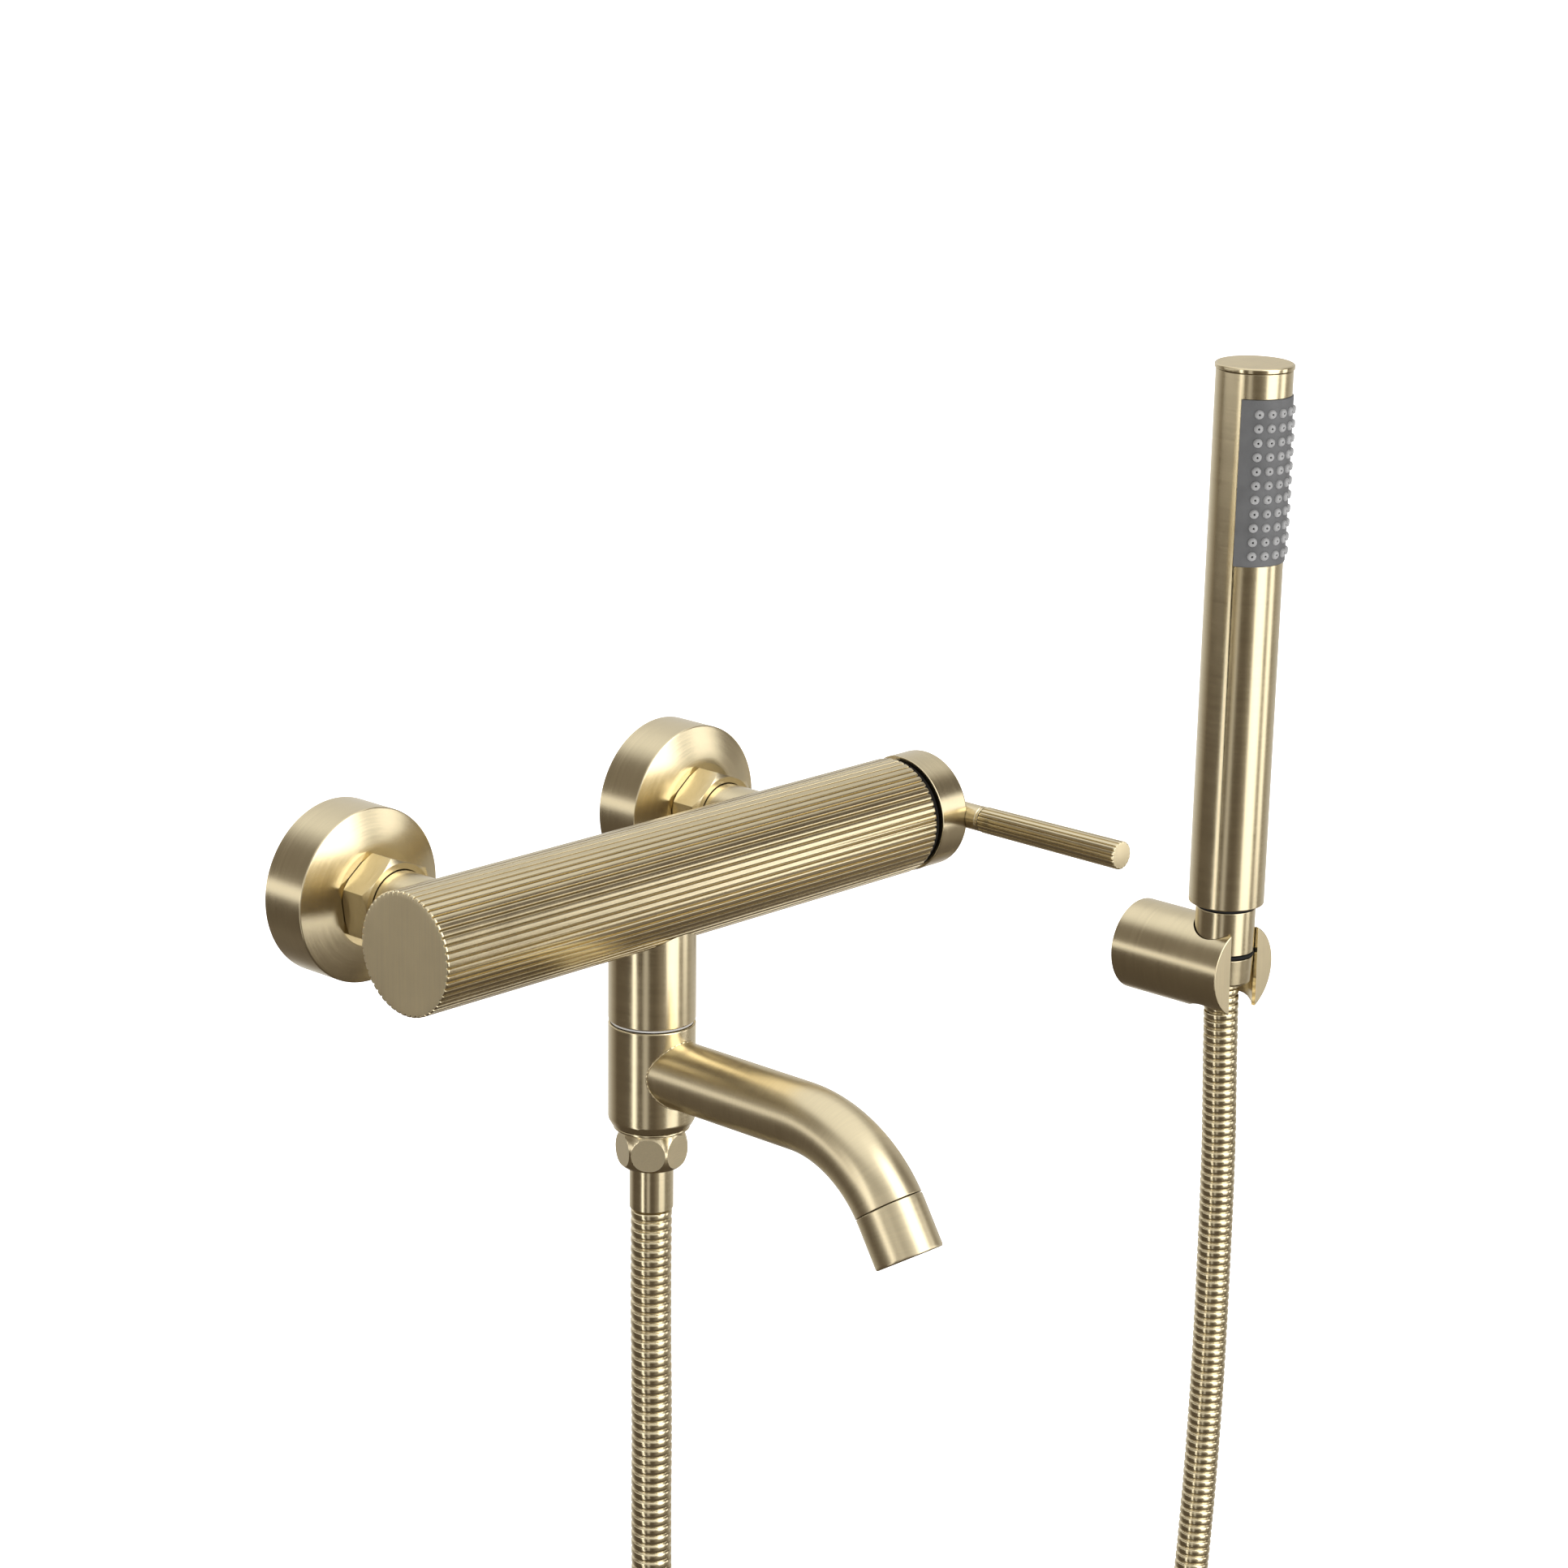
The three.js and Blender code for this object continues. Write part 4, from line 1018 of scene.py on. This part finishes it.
def torus(name, radius, thickness, height, place):
    around, sides = 96, 20
    profile = [
        (radius + thickness * math.cos(turn), height + thickness * math.sin(turn), 0)
        for turn in np.arange(sides) / sides * 2 * math.pi
    ]
    return turned(name, profile, place, around, 0)


def sector(name, outer, inner, half, low, high, place, steps=40, crown=0.0):
    """Angular slice of a ring; angles are counted from -Y towards +X."""
    rows = [(inner, low), (outer, low), (outer, high), (inner, high)]
    if crown:
        slight = crown * 0.3
        rows = [
            (inner, low), (outer - crown, low), (outer - slight, low + slight),
            (outer, low + crown), (outer, high - crown), (outer - slight, high - slight),
            (outer - crown, high), (inner, high),
        ]
    points = []
    for step in range(steps + 1):
        angle = PANEL_TURN + half * (2 * step / steps - 1)
        for radius, height in rows:
            points.append((radius * math.sin(angle), -radius * math.cos(angle), height))
    count = len(rows)
    faces = ring_faces(steps + 1, count, False)
    faces += [tuple(range(count)), tuple(range(steps * count, steps * count + count))]
    return add_mesh(name, moved(place, points), faces)


def on_panel(name, outline, sides, ends):
    """The outline of radius and height, turned at every nozzle, with the chosen ends closed."""
    up = Vector((0, 0, 1))
    points, faces = [], []
    for row in range(NOZZLE_ROWS):
        for column in range(NOZZLE_COLUMNS):
            turn = PANEL_TURN + NOZZLE_TURN * (column - NOZZLE_COLUMNS // 2)
            out = Vector((math.sin(turn), -math.cos(turn), 0))
            side = Vector((math.cos(turn), math.sin(turn), 0))
            centre = PANEL_RADIUS * out + (NOZZLE_START + NOZZLE_PITCH * row) * up
            first = len(points)
            for radius, height in outline:
                for angle in np.arange(sides) / sides * 2 * math.pi:
                    circle = math.cos(angle) * side + math.sin(angle) * up
                    points.append(centre + height * out + radius * circle)
            for face in ring_faces(len(outline), sides, False):
                faces.append(tuple(first + corner for corner in face))
            for end in ends:
                start = first + end * sides
                faces.append(tuple(start + corner for corner in range(sides)))
    return add_mesh(name, moved(HANDSET, points), faces)


def add_nozzles():
    """Silicone nozzles, each a low dome with a pin hole; a black disc near the bottom of each hole
    is painted shade.
    """
    dome = [
        (1.82, -0.2), (1.8, 0.12), (1.66, 0.5), (1.4, 0.82), (1.05, 0.99), (0.7, 1.05),
        (0.46, 1.06), (0.4, 1.0), (0.38, 0.3), (0, 0.3),
    ]
    nozzles = on_panel("nozzles", dome, 24, [0])
    finish(shade(nozzles, 60), "nozzle_silicone", "handset", "grey_rubber")
    # Black discs in the pin holes stand in for the shade deep in each hole.
    hole_shade_discs = on_panel("nozzle_hole_shade_discs", [(0.37, 0.33), (0.37, 0.37)], 12, [0, 1])
    finish(hole_shade_discs, "black_rubber", "handset", "grey_rubber")


def add_handset():
    tube = turned("shower_tube", [
        (9.4, 27.3), (15, 27.3, 0.45), (15, 241.6, 0.2), (13.6, 241.6), (13.6, 29.8), (9.4, 29.8),
    ], HANDSET, 128)
    carve(tube, sector("tool", 17, 12, math.radians(65.3), 166.6, 232.1, HANDSET, 48))
    soften(tube, 0.22, 40)
    finish(shade(tube, 38), "gold_handset", "handset", "gold", "handset_tube")
    panel = sector(
        "silicone_panel", PANEL_RADIUS, 12.9, math.radians(64.6), 166.75, 231.95, HANDSET, 64, 0.35
    )
    finish(shade(soften(panel, 0.25, 50), 50), "silicone", "handset", "grey_rubber", "nozzle_panel")
    add_nozzles()
    cap = turned("shower_cap", [
        (0, 244.25), (5, 244.22, 0), (9, 244.15, 0), (12, 244.06, 0), (14.6, 243.95, 0.2),
        (15.45, 243.55, 0.3), (15.45, 241.9, 0.3), (13.3, 241.9), (13.3, 236.6), (0, 236.6),
    ], HANDSET, 128)
    shade(cap)
    cap.data.materials.append(material("gold_polished"))
    paint_faces(cap, "gold_matte", lambda centre, normal: normal.z > 0.97 and centre.z > 0.1)
    finish(cap, "gold_polished", "handset", "gold", "handset_cap")
    cone = turned("cone_shell", [
        (7.8, -5.5), (10.9, -5.5, 0.3), (11.5, -4.8, 0.3), (11.9, 5.5, 0.2),
        (10.3, 5.5), (10.3, 7.6), (11.9, 7.6, 0.2), (11.9, 25.4, 0.4), (9.3, 25.4), (9.3, 3),
        (7.8, 3),
    ], HANDSET, 112)
    finish(shade(cone), "gold_handset", "handset", "gold", "cone_nut")
    seal = torus("cone_ring", 11.4, 0.75, 6.55, HANDSET)
    finish(shade(seal, 80), "black_rubber", "handset", "black_rubber", "cone_oring")
    ring = turned("tube_ring", [
        (9.4, 25.7), (12.4, 25.7, 0.4), (12.4, 27, 0.4), (9.4, 27),
    ], HANDSET, 96)
    finish(shade(ring), "black_rubber", "handset", "black_rubber", "handset_oring")


# ---- CAD nodes that stay ----

KEPT_FINISH = {
    "steel": (
        "stem", "pivot_pin", "set_screw", "spout_grub_screw", "check_valve_spring",
        "holder_grub_screw",
    ),
    "brass": ("retaining_nut", "diverter_core", "handset_connector"),
    "white_plastic": (
        "cartridge_base", "cartridge_housing", "turret", "check_valve_body", "spray_duct",
    ),
    "black_plastic": ("check_valve_poppet",),
    "ceramic": ("fixed_disc", "moving_disc"),
    "black_rubber": (
        "filter_washer_left", "filter_washer_right", "port_gasket", "core_oring_upper",
        "core_oring_lower", "aerator_washer", "hose_washer", "handset_hose_washer",
    ),
}


def finish_kept_nodes():
    for looks, names in KEPT_FINISH.items():
        for name in names:
            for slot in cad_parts[name].material_slots:
                slot.link = "OBJECT"
                slot.material = material(looks)


# ---- studio ----

def add_camera():
    camera = bpy.data.objects.new("camera", bpy.data.cameras.new("camera"))
    camera.data.lens = CAMERA_LENS
    camera.data.sensor_width = SENSOR
    back = -Vector(CAMERA_FORWARD)
    camera.matrix_world = axes(CAMERA_PLACE, CAMERA_RIGHT, CAMERA_UP, tuple(back))
    bpy.context.scene.collection.objects.link(camera)
    bpy.context.scene.camera = camera


LIT_POINT = (0.1, -0.05, -0.05)
LIGHT_DISTANCE = 2.4
# Azimuth, elevation, width and height in degrees, then brightness
SOFTBOXES = [
    (9, 20, 40, 84, 1.8), (48, 1, 16, 38, 1.6), (-91, -12, 10, 64, 1.9), (-62, -10, 12, 50, 0.5),
    (-125, 0, 60, 12, 1.05),
]


def softbox(azimuth, elevation, width, height, glow):
    """A rectangular light, its width and height in degrees as seen from the faucet."""
    turn, rise = math.radians(azimuth), math.radians(elevation)
    level = math.cos(rise)
    out = Vector((math.sin(turn) * level, -math.cos(turn) * level, math.sin(rise)))
    lamp = bpy.data.lights.new("softbox", "AREA")
    lamp.shape = "RECTANGLE"
    lamp.size = 2 * LIGHT_DISTANCE * math.tan(math.radians(width / 2))
    lamp.size_y = 2 * LIGHT_DISTANCE * math.tan(math.radians(height / 2))
    lamp.energy = math.pi * lamp.size * lamp.size_y * glow
    holder = bpy.data.objects.new("softbox", lamp)
    holder.location = Vector(LIT_POINT) + LIGHT_DISTANCE * out
    holder.rotation_mode = "QUATERNION"
    holder.rotation_quaternion = out.to_track_quat("Z", "Y")
    holder.visible_camera = False
    bpy.context.scene.collection.objects.link(holder)


# Plain shades of the room's walls, by azimuth in degrees: 0 is in front of the faucet and 90 to
# its right. One ring lies below eye level and one above it, up to the ceiling.
DARK = 0.1
DIM = 0.2
GREY = 0.5
BRIGHT = 0.9
WHITE = 1.0
BELOW = [
    (-180, GREY), (-150, DARK), (-35, DARK), (-10, 0.3), (35, 0.3), (50, DIM), (80, GREY),
    (140, BRIGHT), (180, GREY),
]
ABOVE = [
    (-180, BRIGHT), (-155, DIM), (-120, DIM), (-95, GREY), (-45, GREY), (0, WHITE), (30, WHITE),
    (45, DARK), (68, DARK), (90, GREY), (180, BRIGHT),
]
CEILING = 1.05
UNDER = 0.09
# Where one zone fades into the next, as the height of a unit vector
EYE_LEVEL = (-0.16, 0.04)
CEILING_EDGE = (0.64, 0.82)
UNDER_EDGE = (-0.45, -0.74)
# The darker the room, the warmer its colour
ROOM_TINTS = [
    (0.0, (0, 0, 0)), (0.12, (0.13, 0.105, 0.08)), (0.3, (0.31, 0.28, 0.245)),
    (0.6, (0.6, 0.585, 0.565)), (1.5, (1.5, 1.5, 1.5)),
]
ROOM_GAIN = 1.5


def add_ramp(nodes, value, stops):
    ramp = nodes.add("ValToRGB", value)
    elements = ramp.color_ramp.elements
    for index, (place_at, shade_of) in enumerate(stops):
        element = elements[index] if index < 2 else elements.new(place_at)
        element.position = place_at
        element.color = (*shade_of, 1)
    return ramp.outputs[0]


def add_world():
    """White to the camera; in reflections a room whose light changes with direction."""
    world = bpy.data.worlds.new("studio")
    bpy.context.scene.world = world
    world.use_nodes = True
    nodes = Tree(world.node_tree)
    here = nodes.add("TexCoord").outputs["Generated"]
    x, y, z = nodes.add("SeparateXYZ", here).outputs
    azimuth = nodes.math("ARCTAN2", x, nodes.math("MULTIPLY", y, -1.0))
    share = nodes.math("MULTIPLY_ADD", azimuth, 0.5 / math.pi, 0.5)
    rings = []
    for levels in (BELOW, ABOVE):
        stops = [((angle + 180) / 360, (level / ROOM_GAIN,) * 3) for angle, level in levels]
        rings.append(add_ramp(nodes, share, stops))
    rise, top, deep = [
        nodes.add("MapRange", z, *edge, interpolation_type="SMOOTHSTEP").outputs[0]
        for edge in (EYE_LEVEL, CEILING_EDGE, UNDER_EDGE)
    ]
    walls = nodes.blend(rise, rings[0], rings[1])
    level = nodes.blend(top, walls, (CEILING / ROOM_GAIN,) * 3 + (1,))
    level = nodes.blend(deep, level, (UNDER / ROOM_GAIN,) * 3 + (1,))
    colour = add_ramp(nodes, level, [
        (at / ROOM_GAIN, tuple(channel / ROOM_GAIN for channel in tint)) for at, tint in ROOM_TINTS
    ])
    room = nodes.add("Background", colour, ROOM_GAIN)
    backdrop = nodes.add("Background", (1, 1, 1, 1), 1.0)
    seen = nodes.add("LightPath").outputs["Is Camera Ray"]
    mix = nodes.add("MixShader", seen, room, backdrop)
    nodes.tree.links.new(mix.outputs[0], nodes.tree.nodes["World Output"].inputs["Surface"])


def add_floor():
    """Plain pale floor under the hose; it stays out of the metal's reflections."""
    half = FLOOR_HALF
    mesh = bpy.data.meshes.new("floor")
    corners = [(-half, -half), (half, -half), (half, half), (-half, half)]
    mesh.from_pydata([(x, y, FLOOR_Z) for x, y in corners], [], [(0, 1, 2, 3)])
    floor = bpy.data.objects.new("floor", mesh)
    bpy.context.scene.collection.objects.link(floor)
    nodes = Nodes("floor")
    speckle = nodes.noise(nodes.add("TexCoord").outputs["Object"], 3.0)
    nodes.set(
        Base_Color=nodes.colour(speckle, (0.86, 0.86, 0.86), (0.9, 0.9, 0.9)), Roughness=0.9,
        Emission_Color=(1, 1, 1, 1), Emission_Strength=1.1,
    )
    mesh.materials.append(nodes.material)
    floor.visible_glossy = False


def add_studio():
    add_world()
    for placing in SOFTBOXES:
        softbox(*placing)
    add_floor()
    bpy.context.scene.view_settings.view_transform = "Standard"


add_camera()
make_metals()
make_plastics()
add_hose()
add_wall_connections()
add_body()
add_cap()
add_lever()
add_stack()
add_spout()
add_aerator()
add_hose_nut()
add_holder()
add_handset()
finish_kept_nodes()
add_studio()
